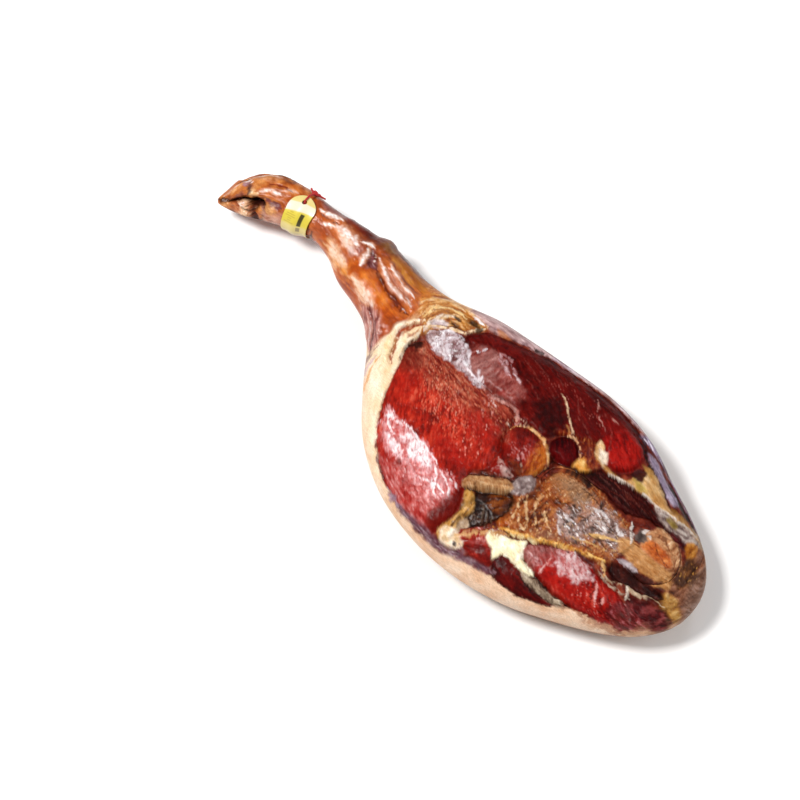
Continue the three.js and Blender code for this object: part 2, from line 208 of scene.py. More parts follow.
class Layers:
    """Height, colour and surface at many places of the ham, seen from above."""

    NEAR = 12  # how far from a shape its distance is still counted

    def __init__(self, x, y, level):
        # Noise runs on down the side walls, where x and y hardly change
        down = np.maximum(0, WALL_TOP - level)
        u, v = x + 0.7 * down, y + 1.3 * down * np.where(y > 60, 1, -1)
        # All outlines wander by a millimetre or two
        self.x = x + 2.4 * (cloud(u, v, 10, 1) - 0.5) + 1.3 * (cloud(u, v, 3, 2) - 0.5)
        self.y = y + 2.4 * (cloud(u, v, 10, 3) - 0.5) + 1.3 * (cloud(u, v, 3, 4) - 0.5)
        self.u, self.v = u + self.x - x, v + self.y - y
        # Blotches of three sizes, for patterns and uneven edges
        self.soft = cloud(u, v, 14, 5)
        self.mid = cloud(u, v, 5.5, 6)
        self.fine = cloud(u, v, 2.4, 7)
        self.height = np.zeros_like(x)
        self.tint = np.zeros((len(x), 3))
        self.rough = np.full_like(x, 0.45)
        self.gloss = np.full_like(x, 0.4)
        self.lean = np.zeros_like(x)
        self.wrinkle = np.full_like(x, 0.6)

    def chain_distance(self, chain, closed):
        """Distance to a chain of places, how far along it the nearest one is, and what it encloses."""
        away = np.full_like(self.x, self.NEAR)
        along = np.zeros_like(self.x)
        inside = np.zeros(len(self.x), bool)
        low, high = chain.min(0) - self.NEAR, chain.max(0) + self.NEAR
        near = (self.x > low[0]) & (self.x < high[0]) & (self.y > low[1]) & (self.y < high[1])
        px, py = self.x[near], self.y[near]
        best = np.full_like(px, self.NEAR**2)
        place = np.zeros_like(px)
        odd = np.zeros(len(px), bool)
        following = np.roll(chain, -1, axis=0) if closed else chain[1:]
        for k, ((ax, ay), (bx, by)) in enumerate(zip(chain, following)):
            dx, dy = bx - ax, by - ay
            t = np.clip(((px - ax) * dx + (py - ay) * dy) / (dx * dx + dy * dy + 1e-9), 0, 1)
            distance = (px - ax - t * dx) ** 2 + (py - ay - t * dy) ** 2
            closer = distance < best
            best = np.where(closer, distance, best)
            place = np.where(closer, k + t, place)
            if closed and ay != by:
                odd ^= ((ay > py) != (by > py)) & (px < ax + (py - ay) * dx / dy)
        away[near] = np.sqrt(best)
        along[near] = place / len(following)
        inside[near] = odd
        return away, along, inside

    def look(self):
        """Gloss, lean of the fibres and depth of the wrinkles, for the materials."""
        return np.stack([self.gloss, self.lean, self.wrinkle], axis=-1)

    def depth(self, loop):
        """Depth inside a smooth loop, negative outside it."""
        away, _, inside = self.chain_distance(spline(loop, True), True)
        return np.where(inside, away, -away)

    def area(self, loop, soft=1.0, ragged=0.8):
        """Depth inside a smooth loop, and a mask of it with an uneven edge."""
        depth = self.depth(loop)
        edge = depth + ragged * (1.4 * self.soft + 0.9 * self.mid + 0.5 * self.fine - 1.4)
        return depth, smooth(-soft, soft, edge)

    def blob(self, x, y, long, wide, turn=0.0, ragged=0.3):
        """A soft round mask with an uneven edge."""
        a = math.radians(turn)
        along = (self.x - x) * math.cos(a) + (self.y - y) * math.sin(a)
        across = (self.y - y) * math.cos(a) - (self.x - x) * math.sin(a)
        r = np.hypot(along / long, across / wide)
        return smooth(1.05, 0.4, r + ragged * (2 * self.mid - 1) * smooth(0, 0.6, r))

    def streaks(self, angle, long, wide, seed, bend=0.0):
        """Noise drawn out along an angle in degrees, and curved where bend isn't 0."""
        a = math.radians(angle)
        along = self.u * math.cos(a) + self.v * math.sin(a)
        across = self.v * math.cos(a) - self.u * math.sin(a)
        across = across + bend * along * along / 100
        return cloud(along / long, across / wide, 1, seed)

    def paint(self, mask, codes, pattern=0.5, rough=None, gloss=None):
        """Paints a mask with the colours of a ramp, picked by a pattern."""
        on = np.flatnonzero(mask > 0.003)
        amount = mask[on]
        colour = ramp(codes, np.broadcast_to(pattern, mask.shape)[on])
        self.tint[on] += (colour - self.tint[on]) * amount[:, None]
        if rough is not None:
            self.rough[on] += (rough - self.rough[on]) * amount
        if gloss is not None:
            self.gloss[on] += (gloss - self.gloss[on]) * amount

    def dab(self, mask, spot, strength, codes, *how):
        """Paints a soft round spot inside a mask."""
        self.paint(mask * self.blob(*spot) * strength, codes, *how)

    def patch(
        self, loop, codes, pattern, soft=1.2, rise=0.0, strength=1.0, ragged=0.8, rough=None, gloss=None
    ):
        """An area of colour with an uneven edge, raised or sunk."""
        depth, mask = self.area(loop, soft, ragged)
        self.height += rise * smooth(-1.5, 3.5, depth)
        self.paint(strength * mask, codes, pattern, rough, gloss)
        return mask

    def line(self, points, width, codes, rise=0.0, strength=0.9, seed=1, ragged=0.6, gloss=None):
        """A tapering ridge or groove of its own colour along a line, uneven and broken in places."""
        away, along, _ = self.chain_distance(spline(points, False), False)
        uneven = cloud(self.x, self.y, 6, seed)
        tapered = 0.35 + 0.65 * smooth(0, 0.2, along) * smooth(1, 0.8, along)
        own = width * (1 - ragged + 2 * ragged * uneven) * tapered
        self.height += rise * np.exp(-((away / (0.9 * width)) ** 2)) * (0.5 + uneven)
        broken = smooth(0.12, 0.4, cloud(self.x, self.y, 3.5, seed + 9))
        mask = strength * smooth(own, 0.35 * own, away) * broken
        self.paint(mask, codes, cloud(self.x, self.y, 4, seed + 5), None, gloss)

    def paint_highlight(self, points, width, strength=0.9, seed=1):
        """A painted highlight along a line: a soft pale sheen, whitest in its middle."""
        away, along, _ = self.chain_distance(spline(points, False), False)
        ends = smooth(0, 0.25, along) * smooth(1, 0.75, along)
        own = width * (0.4 + 1.2 * cloud(self.u, self.v, 9, seed)) * (0.35 + 0.65 * ends)
        near = smooth(1.5, 0.0, away / own + 0.4 * (self.mid - 0.5)) * (0.7 + 0.5 * self.fine)
        self.paint(strength * near.clip(0, 1), PAINTED_HIGHLIGHT, near.clip(0, 1) ** 1.5, 0.3, 0.6)

    def swell(self, points, reach, rise):
        """A soft ridge or hollow along a line."""
        away = self.chain_distance(spline(points, False), False)[0]
        far = math.exp(-((self.NEAR / reach) ** 2))
        self.height += rise * (np.exp(-((away / reach) ** 2)) - far) / (1 - far)

    def lines(self, rows, codes, width, rise=0.3, strength=0.8, seed=1, gloss=None):
        """Several lines of one look."""
        for k, row in enumerate(rows):
            self.line(row, width, codes, rise, strength, seed + k, 0.6, gloss)

    def flecks(self, mask, codes, angle, long, wide, seed, cover=0.2, bend=0.0, gloss=None):
        """Short strokes of another colour strewn over a mask."""
        noise = self.streaks(angle, long, wide, seed, bend)
        edge = 0.5 + 0.34 * (1 - 2 * cover)
        strokes = smooth(edge - 0.05, edge + 0.12, noise)
        self.paint(mask * strokes, codes, smooth(edge, 1, noise), None, gloss)

    def muscle(
        self, loop, codes, rise, run, angle, seed, groove=2.0, long=12, wide=1.5, bend=0.0, ragged=0.7,
        edge=0.7, gloss=0.3,
    ):
        """A muscle's cut end: it swells from its outline, with a groove round it and fibres in it."""
        depth, mask = self.area(loop, 1.1, ragged)
        sunk = groove * np.exp(-((depth / 3.2) ** 2)) * (0.4 + 1.2 * self.soft)
        self.height += rise * (1 - np.exp(-np.maximum(depth, 0) / run)) - sunk
        fibre = self.streaks(angle, long, wide, seed, bend)
        self.height += mask * 0.7 * (fibre - 0.5)
        grain = np.clip(0.6 * fibre + 0.5 * self.soft + 0.25 * self.mid - 0.17, 0, 1)
        self.paint(mask, codes, grain, 0.45, gloss)
        self.paint(edge * smooth(3.5, 0, depth) * mask * smooth(0.2, 0.7, self.mid), codes.split()[0])
        self.lean = np.where(mask > 0.5, np.clip((-angle - 10) / 50, 0, 1), self.lean)
        return mask


# Colours, from dark to light
RED = "5c0a05 7d150b 981c10 ad2717 c03a26 cf5a44"
DRY_RED = "34080a 5f140c 853022 a9533c c9876c"
DARK_RED = "200303 3c0503 560805 66100a 7c2017"
BRIGHT_RED = "5e0706 7d0c09 95130e a81c15 bb3027"
MAROON = "190405 2b0507 40080a 551014 6d2a2c"
# Near-black painted shade for gaps, grooves and pits
GAP_SHADE = "0e0504 1a0a07 2b130d 47261a"
CREAM = "d2a070 e8c398 f4dcba fbeedc"
GOLD = "743812 a86022 c88840 e0b076 f0d4a8"
# A pale film with painted highlights on it
BLOOM_AND_HIGHLIGHT = "a82a26 cf6c68 e8b0b2 f6dde0 fffafb"
LILAC = "5a322c 84605c a98a8a c9b6bb f1ecf1"
BONE = "6b4226 8b5834 a56e45 bb875a d7ab80"
FIBROUS = "3e1405 702c0c 944a1e b87844 e2b884"
GREY = "2f211e 5f4a44 8b736c b39e99 e6dedd"
SKIN = "4c1706 82330f ab4f1c c56e34 dd9860"
# Painted highlights, from their peach edge to their white middle
PAINTED_HIGHLIGHT = "cf8257 e8b494 f3d8ca fffaf8"
RIND = "7a4a22 9c6834 b8844a cfa06a"


# The cut face

# The values of a line are its places, width, colours, rise, strength, seed, raggedness and gloss. Those of
# a patch are its outline, colours, pattern, softness, rise, strength, raggedness, roughness and gloss, and
# those of a dab its mask, the spot's place, length, width and turn, its strength, colours and pattern.
FACE = [
    (-54, 34), (-52, 12), (-43, -4), (-37, -22), (-31, -40), (-21, -57), (-2, -79), (20, -97), (46, -109),
    (80, -117), (112, -119), (150, -111), (200, -102), (228, -91), (272, -69), (303, -46), (321, -20),
    (325, 8), (316, 40), (298, 60), (262, 80), (215, 99), (165, 113), (100, 116), (40, 110), (-10, 100),
    (-40, 92), (-52, 62),
]
ROUND = [
    (-50, 22), (-44, 33), (-30, 36), (-8, 36), (12, 36), (40, 34), (60, 33), (76, 33), (85, 25), (89, 8),
    (97, -12), (99, -28), (90, -42), (90, -56), (98, -64), (105, -80), (106, -100), (98, -113), (75, -112),
    (45, -106), (18, -94), (-4, -77), (-20, -57), (-30, -38), (-38, -18), (-44, 0),
]
FAR_SIDE = [
    (-15, 66), (-9, 78), (-2, 88), (14, 93), (30, 99), (55, 106), (90, 112), (140, 113), (172, 108),
    (198, 96), (204, 72), (198, 54), (186, 50), (174, 55), (164, 62), (150, 56), (138, 50), (126, 42),
    (118, 32), (98, 29), (89, 24), (80, 34), (60, 36), (34, 38), (12, 40), (5, 48), (-3, 60),
]
BLOOM_AND_HIGHLIGHT_ON_ROUND = [
    (-22, -42), (-6, -44), (8, -44), (24, -49), (42, -51), (54, -56), (64, -60), (78, -60), (90, -66),
    (90, -80), (78, -85), (58, -85), (40, -82), (26, -78), (12, -79), (1, -74), (-9, -65), (-16, -55),
]


def lay_fat_rim(face, side):
    """The smooth band of fat round the cut face, cream at the shank and pinker towards the butt."""
    toward_butt = smooth(-20, 90, face.x)
    drift = 0.5 * face.streaks(-50, 30, 7, 12) + 0.5 * face.soft
    cream = ramp("d8a878 eccca4 f8e6cc fff6e8", 0.2 + 0.7 * drift)
    pink = ramp("c48c68 dcb08c e8c6a8 f2dcc6", 0.15 + 0.7 * drift)
    face.tint = cream + (pink - cream) * toward_butt[:, None]
    face.rough = np.full_like(face.x, 0.36)
    face.gloss = np.full_like(face.x, 0.3)
    face.wrinkle = np.full_like(face.x, 0.15)
    near = smooth(0, -40, face.y)
    outer = smooth(0.75, 0.3, side)
    face.paint(near * outer * (0.2 + 0.4 * face.mid), "e6bea0 f6e2d0", face.soft)
    # A warm orange band on the steep outer wall at the shank end, and darker tan below the widest line on the
    # near side: painted shade
    outside = smooth(0.62, 0.3, side) * smooth(40, -30, face.x) * smooth(10, -10, face.y)
    face.paint(outside * (0.1 + 0.3 * face.mid), "d49060 ecc09c f4d8c0", drift)
    face.paint(near * smooth(0.0, -0.3, side) * 0.7, "cc9668 dfb48c eccfb0", face.mid)
    # Lilac on the far rim: partly the skin's own grey, partly painted reflection
    far = smooth(74, 94, face.y + 6 * (face.mid - 0.5)) * smooth(-50, -14, face.x) * smooth(0.1, 0.35, side)
    face.paint(0.85 * far, "7c5854 ac8c8c d0b4b4 e8dada", drift)
    for line, width, codes in (
        ([(-66, -2), (-66, -14), (-63, -26), (-56, -42), (-46, -58)], 2.2, "c97a34 e2a868"),
        ([(-70, -4), (-71, -18), (-66, -32), (-58, -48)], 3.0, "b08c96 d5bcc4"),
        ([(-76, 2), (-78, -10), (-73, -24), (-66, -38)], 3.4, "5c3c44 8a6a72"),
    ):
        face.line(line, width, codes, 0, 0.7, 14)


def lay_round(face):
    """The big inside muscle: bright red, dry at its far side, with a pale bloom on its near slope, partly
    painted highlight.
    """
    mask = face.muscle(ROUND, RED, 8.5, 15, -50, 21, bend=0.1, long=8)
    slope = face.y + 0.02 * face.x
    dry = mask * smooth(-6, 12, slope + 9 * (face.soft - 0.5))
    tan = face.streaks(-9, 10, 1.3, 24)
    face.paint(dry * 0.85, DRY_RED, np.clip(0.1 + 0.9 * tan - 0.25 * smooth(40, 90, face.x), 0, 1))
    face.height += dry * 1.1 * (tan - 0.5)
    face.flecks(dry * 0.6, "a8583c c9886a", -9, 7, 1.0, 23, 0.16)
    middle = mask * face.blob(28, -14, 66, 26, -18)
    face.flecks(middle * 0.75, "cf4a34 e07c60", -56, 6, 0.9, 25, 0.3)
    face.flecks(mask * face.blob(30, -6, 44, 24, -18) * 0.6, "cf6a54 e8a490", -30, 4, 1.3, 54, 0.2)
    face.flecks(middle * 0.8, "5e0c06 7c150c", -56, 9, 1.3, 26, 0.28)
    face.flecks(mask * face.blob(8, 8, 40, 24, -20) * 0.7, "b8664a d99c80", -20, 4, 1.1, 27, 0.16)
    face.dab(mask, (66, 2, 24, 15, -10), 0.7, "7c120b a01c12 b82c20", face.streaks(-40, 6, 2, 39))
    face.dab(mask, (-22, -14, 24, 15, -50), 0.7, "8f140a a81f12 b92c1c", face.mid)
    face.dab(mask, (58, -38, 34, 12, -8), 0.75, "8c120a a31a10 b52a1c", face.mid)
    face.dab(mask, (-47, 25, 13, 9, 30), 0.95, "1c0705 35100a", face.mid)
    face.dab(mask, (-38, 8, 16, 18, 60), 0.6, "4a0f0a 761b10", tan)
    face.dab(mask, (60, 28, 26, 7, 5), 0.5, "8f2a1c b3523e", tan)
    face.flecks(mask * face.blob(72, 12, 22, 20) * 0.8, "bd5c4c e0a89c", -30, 4, 1.1, 28, 0.13)
    face.flecks(mask * face.blob(70, -26, 20, 16) * 0.8, "d8604e eda89a", -62, 5, 1.0, 29, 0.16)
    dark_end = face.depth([(92, -62), (101, -68), (106, -85), (105, -106), (94, -112), (86, -103), (88, -82)])
    low = mask * smooth(-80, -90, face.y - 0.1 * face.x) * smooth(96, 80, face.x)
    streak = face.streaks(-20, 9, 1.6, 30)
    face.paint(low * 0.85, "841614 a83430 c4645f e0a4a2", streak)
    lay_round_bloom_and_highlight(face, mask)
    face.paint(mask * smooth(-5, 5, dark_end) * 0.9, DARK_RED, 0.3 + 0.6 * face.mid, None, 0.1)
    face.line([(-7, -76), (4, -86), (18, -95), (30, -101)], 1.8, "4c0d10 7c2a22", -0.8, 0.9, 31)
    face.line([(34, -103), (50, -109), (70, -113), (92, -116)], 2.6, "7c5a6c b59aa8", 0.0, 0.85, 32)


def lay_round_bloom_and_highlight(face, mask):
    """The pale salt bloom on the near slope of the big muscle, creased and streaked, with painted highlights
    in its brightest patches and white lines.
    """
    bloom_and_highlight = face.depth(BLOOM_AND_HIGHLIGHT_ON_ROUND)
    stroke = face.streaks(-38, 8, 1.6, 33)
    wrinkle = face.streaks(30, 5, 1.6, 34)
    edge = smooth(-2.5, 2, bloom_and_highlight + 8 * (stroke - 0.5) + 4 * (face.fine - 0.5))
    # Its brightest patches are painted highlight
    bright = face.blob(36, -60, 32, 11, -16) + face.blob(12, -70, 18, 6, -20) + face.blob(-14, -47, 9, 6)
    creases = face.streaks(-66, 3.2, 1.1, 55)
    white = np.clip(0.3 * stroke + 0.25 * wrinkle + 0.3 * creases + 0.4 * bright - 0.07, 0, 1)
    face.paint(mask * edge * (0.72 + 0.28 * bright.clip(0, 1)), BLOOM_AND_HIGHLIGHT, white, 0.3, 1.0)
    face.height += 0.7 * mask * edge * (creases - 0.5)
    face.height += 1.1 * mask * edge * (wrinkle - 0.5) + 0.8 * mask * edge * (stroke - 0.5)
    face.flecks(mask * edge * 0.8, "a83a36 c98480", -40, 5, 1.0, 35, 0.2)
    face.flecks(mask * edge * 0.5, "6c3c40 94686c", 20, 2.5, 1.2, 36, 0.08)
    gap = [
        [(18, -56), (25, -66), (30, -76)], [(-4, -60), (-8, -68), (-2, -76)],
        [(52, -57), (60, -68), (64, -80)],
    ]
    face.lines(gap, "a8322e c9605c", 2.0, -0.5, 0.6, 37)
    # Pure white lines along the creases: painted highlights
    highlight_lines = (
        [(64, -62), (74, -65), (84, -70), (90, -77)],
        [(68, -69), (72, -78), (80, -83)],
        [(-18, -46), (-12, -52), (-4, -57), (5, -60)],
        [(-14, -47), (-6, -50), (4, -48)],
        [(58, -60), (66, -68), (70, -80)],
        [(76, -62), (84, -62), (90, -66)],
        [(-2, -46), (14, -47), (30, -51), (46, -54), (60, -58)],
        [(62, -72), (70, -76), (76, -83)],
        [(48, -80), (60, -78), (72, -74), (84, -76)],
    )
    face.lines(highlight_lines, "f0dfe3 ffffff", 1.2, 0.4, 0.85, 38, 1.0)


def lay_far_side(face):
    """The dark muscles of the far side, from the shank to the rounded bright one."""
    mask = face.muscle(FAR_SIDE, DARK_RED, 4.5, 12, -20, 41, bend=-0.05, gloss=0.08)
    upper = face.blob(130, 84, 80, 22, -8)
    face.paint(mask * 0.6 * upper, "4c0706 660c08 7c140f", face.streaks(-24, 14, 1.8, 43))
    face.flecks(mask * 0.5 * upper, "8a2820 b3685e", -28, 9, 0.9, 44, 0.1)
    shadow = face.blob(106, 58, 26, 22, -20)
    face.paint(mask * 0.9 * shadow, "160303 2c0403 470705", face.streaks(-30, 12, 2, 45))
    face.dab(mask, (18, 86, 28, 9, 8), 0.8, "48070a 6c120f 84221c", face.mid)
    bright = [
        (163, 88), (160, 74), (166, 64), (176, 54), (188, 50), (199, 55), (204, 66), (204, 82), (190, 96),
        (172, 98),
    ]
    depth = face.depth(bright)
    face.height += 3.5 * (1 - np.exp(-np.maximum(depth, 0) / 9))
    core = face.streaks(-36, 9, 1.6, 46)
    face.dab(mask, (170, 82, 34, 17, -24), 0.75, "5e0807 7c0f0c 921a14", core)
    face.paint(smooth(-3, 6, depth) * 0.9, BRIGHT_RED, core)
    face.paint(0.8 * face.blob(187, 68, 18, 16), "84100c a01812 b2281f", core)
    face.line(
        [(98, 83), (107, 77), (116, 70), (126, 62), (134, 55), (140, 50)],
        1.5, "b88a6c ecd0ae", 0.8, 0.95, 47, 0.3,
    )
    face.line([(124, 58), (132, 52), (138, 49)], 1.8, "9c5c34 d09c64", 0.4, 0.7, 48)
    # A pale seam of fat, and beside it a short streak of painted highlight
    pale = ([(127, 105), (135, 96), (141, 88), (149, 83), (158, 80)], [(146, 99), (153, 96), (162, 95)])
    face.lines(pale, "8c3c34 d5a89c", 1.3, 0.4, 0.85, 49)
    faint = (
        [(112, 90), (124, 78), (140, 68), (156, 60)],
        [(84, 95), (90, 91), (97, 86)],
        [(86, 78), (92, 75), (98, 71)],
        [(44, 88), (56, 84), (68, 79), (80, 77)],
        [(50, 95), (64, 92), (78, 87)],
        [(60, 70), (76, 66), (90, 60)],
        [(160, 86), (166, 76), (172, 66)],
    )
    face.lines(faint, "5c1a14 94544c", 1.1, 0.3, 0.4, 51)


def lay_membranes(face):
    """The lilac and white skins over the shank end of the muscles, with painted highlights on them."""
    veil = face.streaks(76, 9, 2.0, 65)
    broad = [
        (-4, 62), (10, 70), (24, 72), (44, 66), (62, 60), (74, 50), (66, 40), (48, 36), (24, 38), (4, 42),
    ]
    face.patch(broad, "5c140f 883830 a86058 bc8882", 0.1 + 0.8 * veil, 5, 0.8, 0.8, 4, 0.4, 0.8)
    face.patch(
        [(8, 50), (14, 66), (24, 70), (34, 60), (40, 44), (24, 40), (12, 42)],
        "96605a bc9690", veil, 5, 0.3, 0.5, 4,
    )
    face.flecks(face.blob(28, 56, 20, 16, -20) * 0.6, "7c1c18 8c2c26", 70, 6, 1.4, 77, 0.25)
    wide = [
        (-46, 42), (-42, 53), (-31, 60), (-20, 63), (-9, 61), (0, 56), (6, 48), (14, 42), (30, 38), (39, 34),
        (28, 31), (10, 33), (-8, 33), (-20, 32), (-34, 36),
    ]
    fold = face.streaks(58, 6, 1.8, 62)
    shade = np.clip(0.14 + 0.5 * fold + 0.5 * face.mid, 0, 1)
    mask = face.patch(wide, LILAC, shade, 1.8, 1.8, 0.95, 2.2, 0.36, 0.9)
    face.height += mask * 2.2 * (fold - 0.5)
    face.dab(mask, (-12, 50, 13, 8, -20), 0.75, "52261f 84585a a98a90", fold)
    face.dab(mask, (-32, 46, 10, 9), 0.6, "6a4a42 a0807a d9cccf", fold)
    face.dab(mask, (-7, 40, 9, 4.5), 0.95, "3a0a0a 6c2420", face.mid)
    # White lines on the skins: partly their own white, partly painted highlight
    white = (
        [(-41, 54), (-31, 60), (-19, 63), (-8, 60), (1, 54), (7, 47)],
        [(-28, 37), (-22, 40), (-17, 36), (-8, 35)],
        [(-38, 48), (-32, 43), (-26, 47)],
        [(-24, 50), (-20, 44), (-14, 40), (-8, 36)],
        [(2, 44), (14, 39), (26, 36), (38, 34)],
        [(-36, 56), (-31, 50), (-30, 43)],
        [(20, 48), (25, 42), (36, 38)],
        [(4, 60), (8, 64), (10, 70)],
    )
    face.lines(white, "cdbcc2 fdf8fb", 2.4, 0.7, 0.85, 64, 1.0)
    # White flecks: partly the skins' own white, partly painted highlight
    face.flecks(mask * 0.7, "d8ccd2 ffffff", 50, 4, 1.2, 74, 0.18, gloss=1.0)
    face.flecks(mask * 0.7, "4a2420 7c5450", -30, 3, 1.3, 75, 0.14)
    # Lilac-pink streaks on the skin, partly painted highlight
    strands = (
        [(22, 75), (31, 78), (38, 75)], [(36, 73), (46, 70), (55, 64), (61, 61)],
        [(26, 70), (38, 66), (50, 61)], [(24, 73), (32, 71), (40, 70)],
    )
    face.lines(strands, "8c4c48 b98a8c ecd8dc", 2.2, 0.4, 0.8, 76, 0.8)
    # The skin between the two big muscles
    face.line(
        [(36, 34), (48, 31), (60, 34), (72, 37), (82, 34), (88, 26), (87, 15)],
        2.8, "a9564a e8bab0", 0.9, 0.8, 81,
    )
    face.flecks(face.blob(54, 28, 10, 8) * 0.85, "c98478 f3ddd6", -40, 3.5, 1.3, 82, 0.35)
    face.flecks(face.blob(86, 26, 7, 13, -60) * 0.9, "c9947c f6e4d4", -60, 4, 1.4, 83, 0.45)
    face.line([(50, 38), (56, 42), (60, 40)], 2.6, "7c1814 a03c34", -0.4, 0.8, 84)


def lay_shank_end(face):
    """Golden sinew, cream folds and dark pits where the face meets the shank."""
    sinew = [
        (-92, 94), (-94, 78), (-86, 62), (-78, 52), (-70, 44), (-60, 40), (-52, 36), (-44, 48), (-37, 60),
        (-27, 66), (-18, 76), (-10, 88), (-14, 99), (-40, 99), (-70, 97),
    ]
    around = np.hypot(face.x + 26, face.y - 56)
    arcs = cloud(around / 2.2, np.arctan2(face.y - 56, face.x + 26) * 3, 1, 91)
    mask = face.patch(sinew, GOLD, 0.05 + 0.9 * arcs, 4, -1.0, 0.95, 2, 0.38, 0.6)
    face.height += 1.6 * mask * (arcs - 0.5)
    face.paint(
        mask * smooth(-62, -78, face.x + 4 * (face.mid - 0.5)) * 0.8, "8c3c0c b85f1c d48a3c e9b878", arcs
    )
    face.flecks(mask * 0.7, "7c3c18 a0602c", 70, 6, 1.2, 92, 0.16)
    arcs_drawn = (
        ([(-72, 54), (-74, 68), (-68, 82), (-54, 90), (-38, 92)], 2.6, "c88840 e0b076 f0d4a8"),
        ([(-62, 54), (-61, 68), (-55, 80), (-42, 86), (-30, 85)], 2.4, "e9bd76 fbe6b4"),
        ([(-53, 56), (-50, 68), (-43, 76), (-36, 78)], 2.0, "dcc0a4 f3e6d6"),
        ([(-50, 42), (-53, 54), (-48, 64)], 2.8, "d9c2b2 f8efe4"),
        ([(-80, 60), (-81, 70), (-78, 82)], 2.4, "b85c1c dc9448"),
        ([(-66, 56), (-67, 70), (-60, 82)], 1.4, "9c5420 c07c3c"),
        ([(-56, 62), (-52, 74), (-42, 81)], 1.2, "8c4c24 b0743c"),
    )
    for k, (line, width, codes) in enumerate(arcs_drawn):
        face.line(line, width, codes, 0.9, 0.85, 93 + k)
    face.patch(
        [(-52, 58), (-46, 67), (-38, 66), (-40, 58), (-48, 52)],
        "94787a c9bcc2 f0ebee", arcs, 2.5, 0.2, 0.85,
    )
    face.line(
        [(-54, 46), (-45, 57), (-37, 61), (-27, 65), (-20, 69), (-15, 77), (-10, 85), (-8, 93)],
        2.0, CREAM, 1.4, 0.95, 101, 0.4,
    )
    face.line([(-44, 60), (-36, 64), (-27, 68), (-19, 73)], 1.2, "5c3a2c 8c6450", -0.8, 0.8, 102)
    face.line([(-29, 92), (-20, 93), (-12, 91)], 2.6, "d8cbd2 ffffff", 0.6, 0.9, 103)
    # Sunk pits, painted near-black: painted shade
    for x, y, long, wide, sunk in (
        (-32, 70, 7, 3.4, 3.4), (-20, 86, 8, 4.2, 3.4), (-11, 82, 3, 5, 2.0), (-36, 78, 5, 2.4, 1.4)
    ):
        away = np.hypot((face.x - x) / long, (face.y - y) / wide)
        face.height -= sunk * np.exp(-(away**2))
        face.paint(0.9 * smooth(1.3, 0.4, away + 0.5 * (face.fine - 0.5)), "170c06 50341c", face.fine)
    # Lilac-grey on the far rim: partly the skin's own grey, partly painted reflection
    rim = [(-34, 97), (-4, 94), (6, 95), (18, 99), (34, 105), (56, 110), (56, 120), (10, 116), (-30, 110)]
    face.patch(
        rim, "6c4440 a08080 c8a8a6 e6d2d0", 0.6 * face.streaks(8, 12, 2.5, 105) + 0.4 * face.mid, 2.5, 0.3,
        0.92, 2,
    )
    face.patch(
        [(0, 99), (10, 101), (20, 99), (15, 94), (6, 94)],
        "7c3414 b0683c cf9468", face.mid, 2, 0.2, 0.8,
    )
    # A groove at the far rim, painted near-black as shade
    face.line([(40, 107), (48, 109), (58, 111)], 2.6, GAP_SHADE, -1.2, 0.9, 106)
    face.patch(
        [(-70, 52), (-58, 50), (-54, 36), (-60, 26), (-69, 31)],
        "7c3c24 b06c48 d0a078", arcs, 3, -0.5, 0.85, 2,
    )
    # Folds of cream fat that run from the shank down into the rim
    face.line(
        [(-58, 52), (-63, 46), (-68, 37), (-74, 28), (-74, 19), (-69, 9), (-62, -3), (-57, -16)],
        4.6, "e8c398 f4dcba fbeedc", 2.4, 0.97, 107, 0.25,
    )
    face.line(
        [(-54, 44), (-52, 34), (-56, 25), (-53, 15), (-47, 4), (-42, -9)],
        3.0, "e0bc90 f8ecd6", 1.2, 0.92, 108, 0.4,
    )
    face.line(
        [(-57, 45), (-62, 38), (-67, 29), (-66, 20), (-61, 10), (-56, 1), (-51, -6)],
        3.4, "6c1c0a a8481c", -2.2, 0.95, 109, 0.3,
    )
    face.line([(-51, 30), (-50, 21), (-47, 12), (-44, 4)], 1.6, "3c1c12 7c5038", -0.9, 0.9, 110)
    face.line([(-54, 46), (-58, 36), (-61, 28), (-57, 18), (-51, 8)], 2.0, "eec894 fdf0d2", 0.6, 0.85, 111)
    face.patch([(-72, 22), (-62, 12), (-56, -8), (-66, -4), (-72, 8)], "e9b45c f8dc94", face.mid, 4, 0, 0.3)


def lay_knuckle(face):
    """The brown-red lobe between the big muscle and the bone, with an orange rim of fat."""
    loop = [
        (88, 19), (98, 28), (110, 29), (122, 27), (132, 20), (139, 8), (139, -3), (131, -13), (118, -22),
        (104, -30), (97, -27), (96, -12), (90, 5),
    ]
    mask = face.muscle(loop, "3a0604 640e08 86170e 962c1e a8584a", 4, 8, -60, 121, groove=1.2)
    right = mask * smooth(118, 134, face.x + 0.2 * face.y + 5 * (face.mid - 0.5))
    face.paint(right * 0.9, "64240a 984812 c07028 d89a58", face.streaks(-80, 7, 1.6, 123))
    face.dab(mask, (118, -12, 17, 9, -30), 0.85, "240806 4c180a 7c3c18", face.mid)
    # Pale pinkish flecks: painted highlights
    face.flecks(mask * face.blob(110, 6, 15, 14) * 0.8, "b06460 dcaaa6", -20, 4, 1.4, 124, 0.3, gloss=0.7)
    face.dab(mask, (98, 20, 12, 8), 0.7, "3a0705 5c0f0a", face.mid)
    # A pale streak across the lobe: painted highlight
    face.line(
        [(100, -15), (107, -19), (115, -21), (121, -20)],
        4.0, "a06c60 e8ccc4", 0.5, 0.65, 125, 0.9, 0.8,
    )
    face.line([(118, -2), (122, -8), (126, -14)], 2.0, "a88870 d9c4b0", 0.3, 0.6, 126)
    rim = [(88, 17), (93, 25), (102, 30), (112, 31), (122, 28), (131, 22), (138, 14), (141, 6)]
    face.line(rim, 2.2, "b0703c dca66c ecc898", 1.2, 0.95, 127, 0.4)
    face.line([(122, 25), (129, 18), (134, 9), (136, 0)], 4.0, "a04410 d07828", 0.2, 0.75, 128)


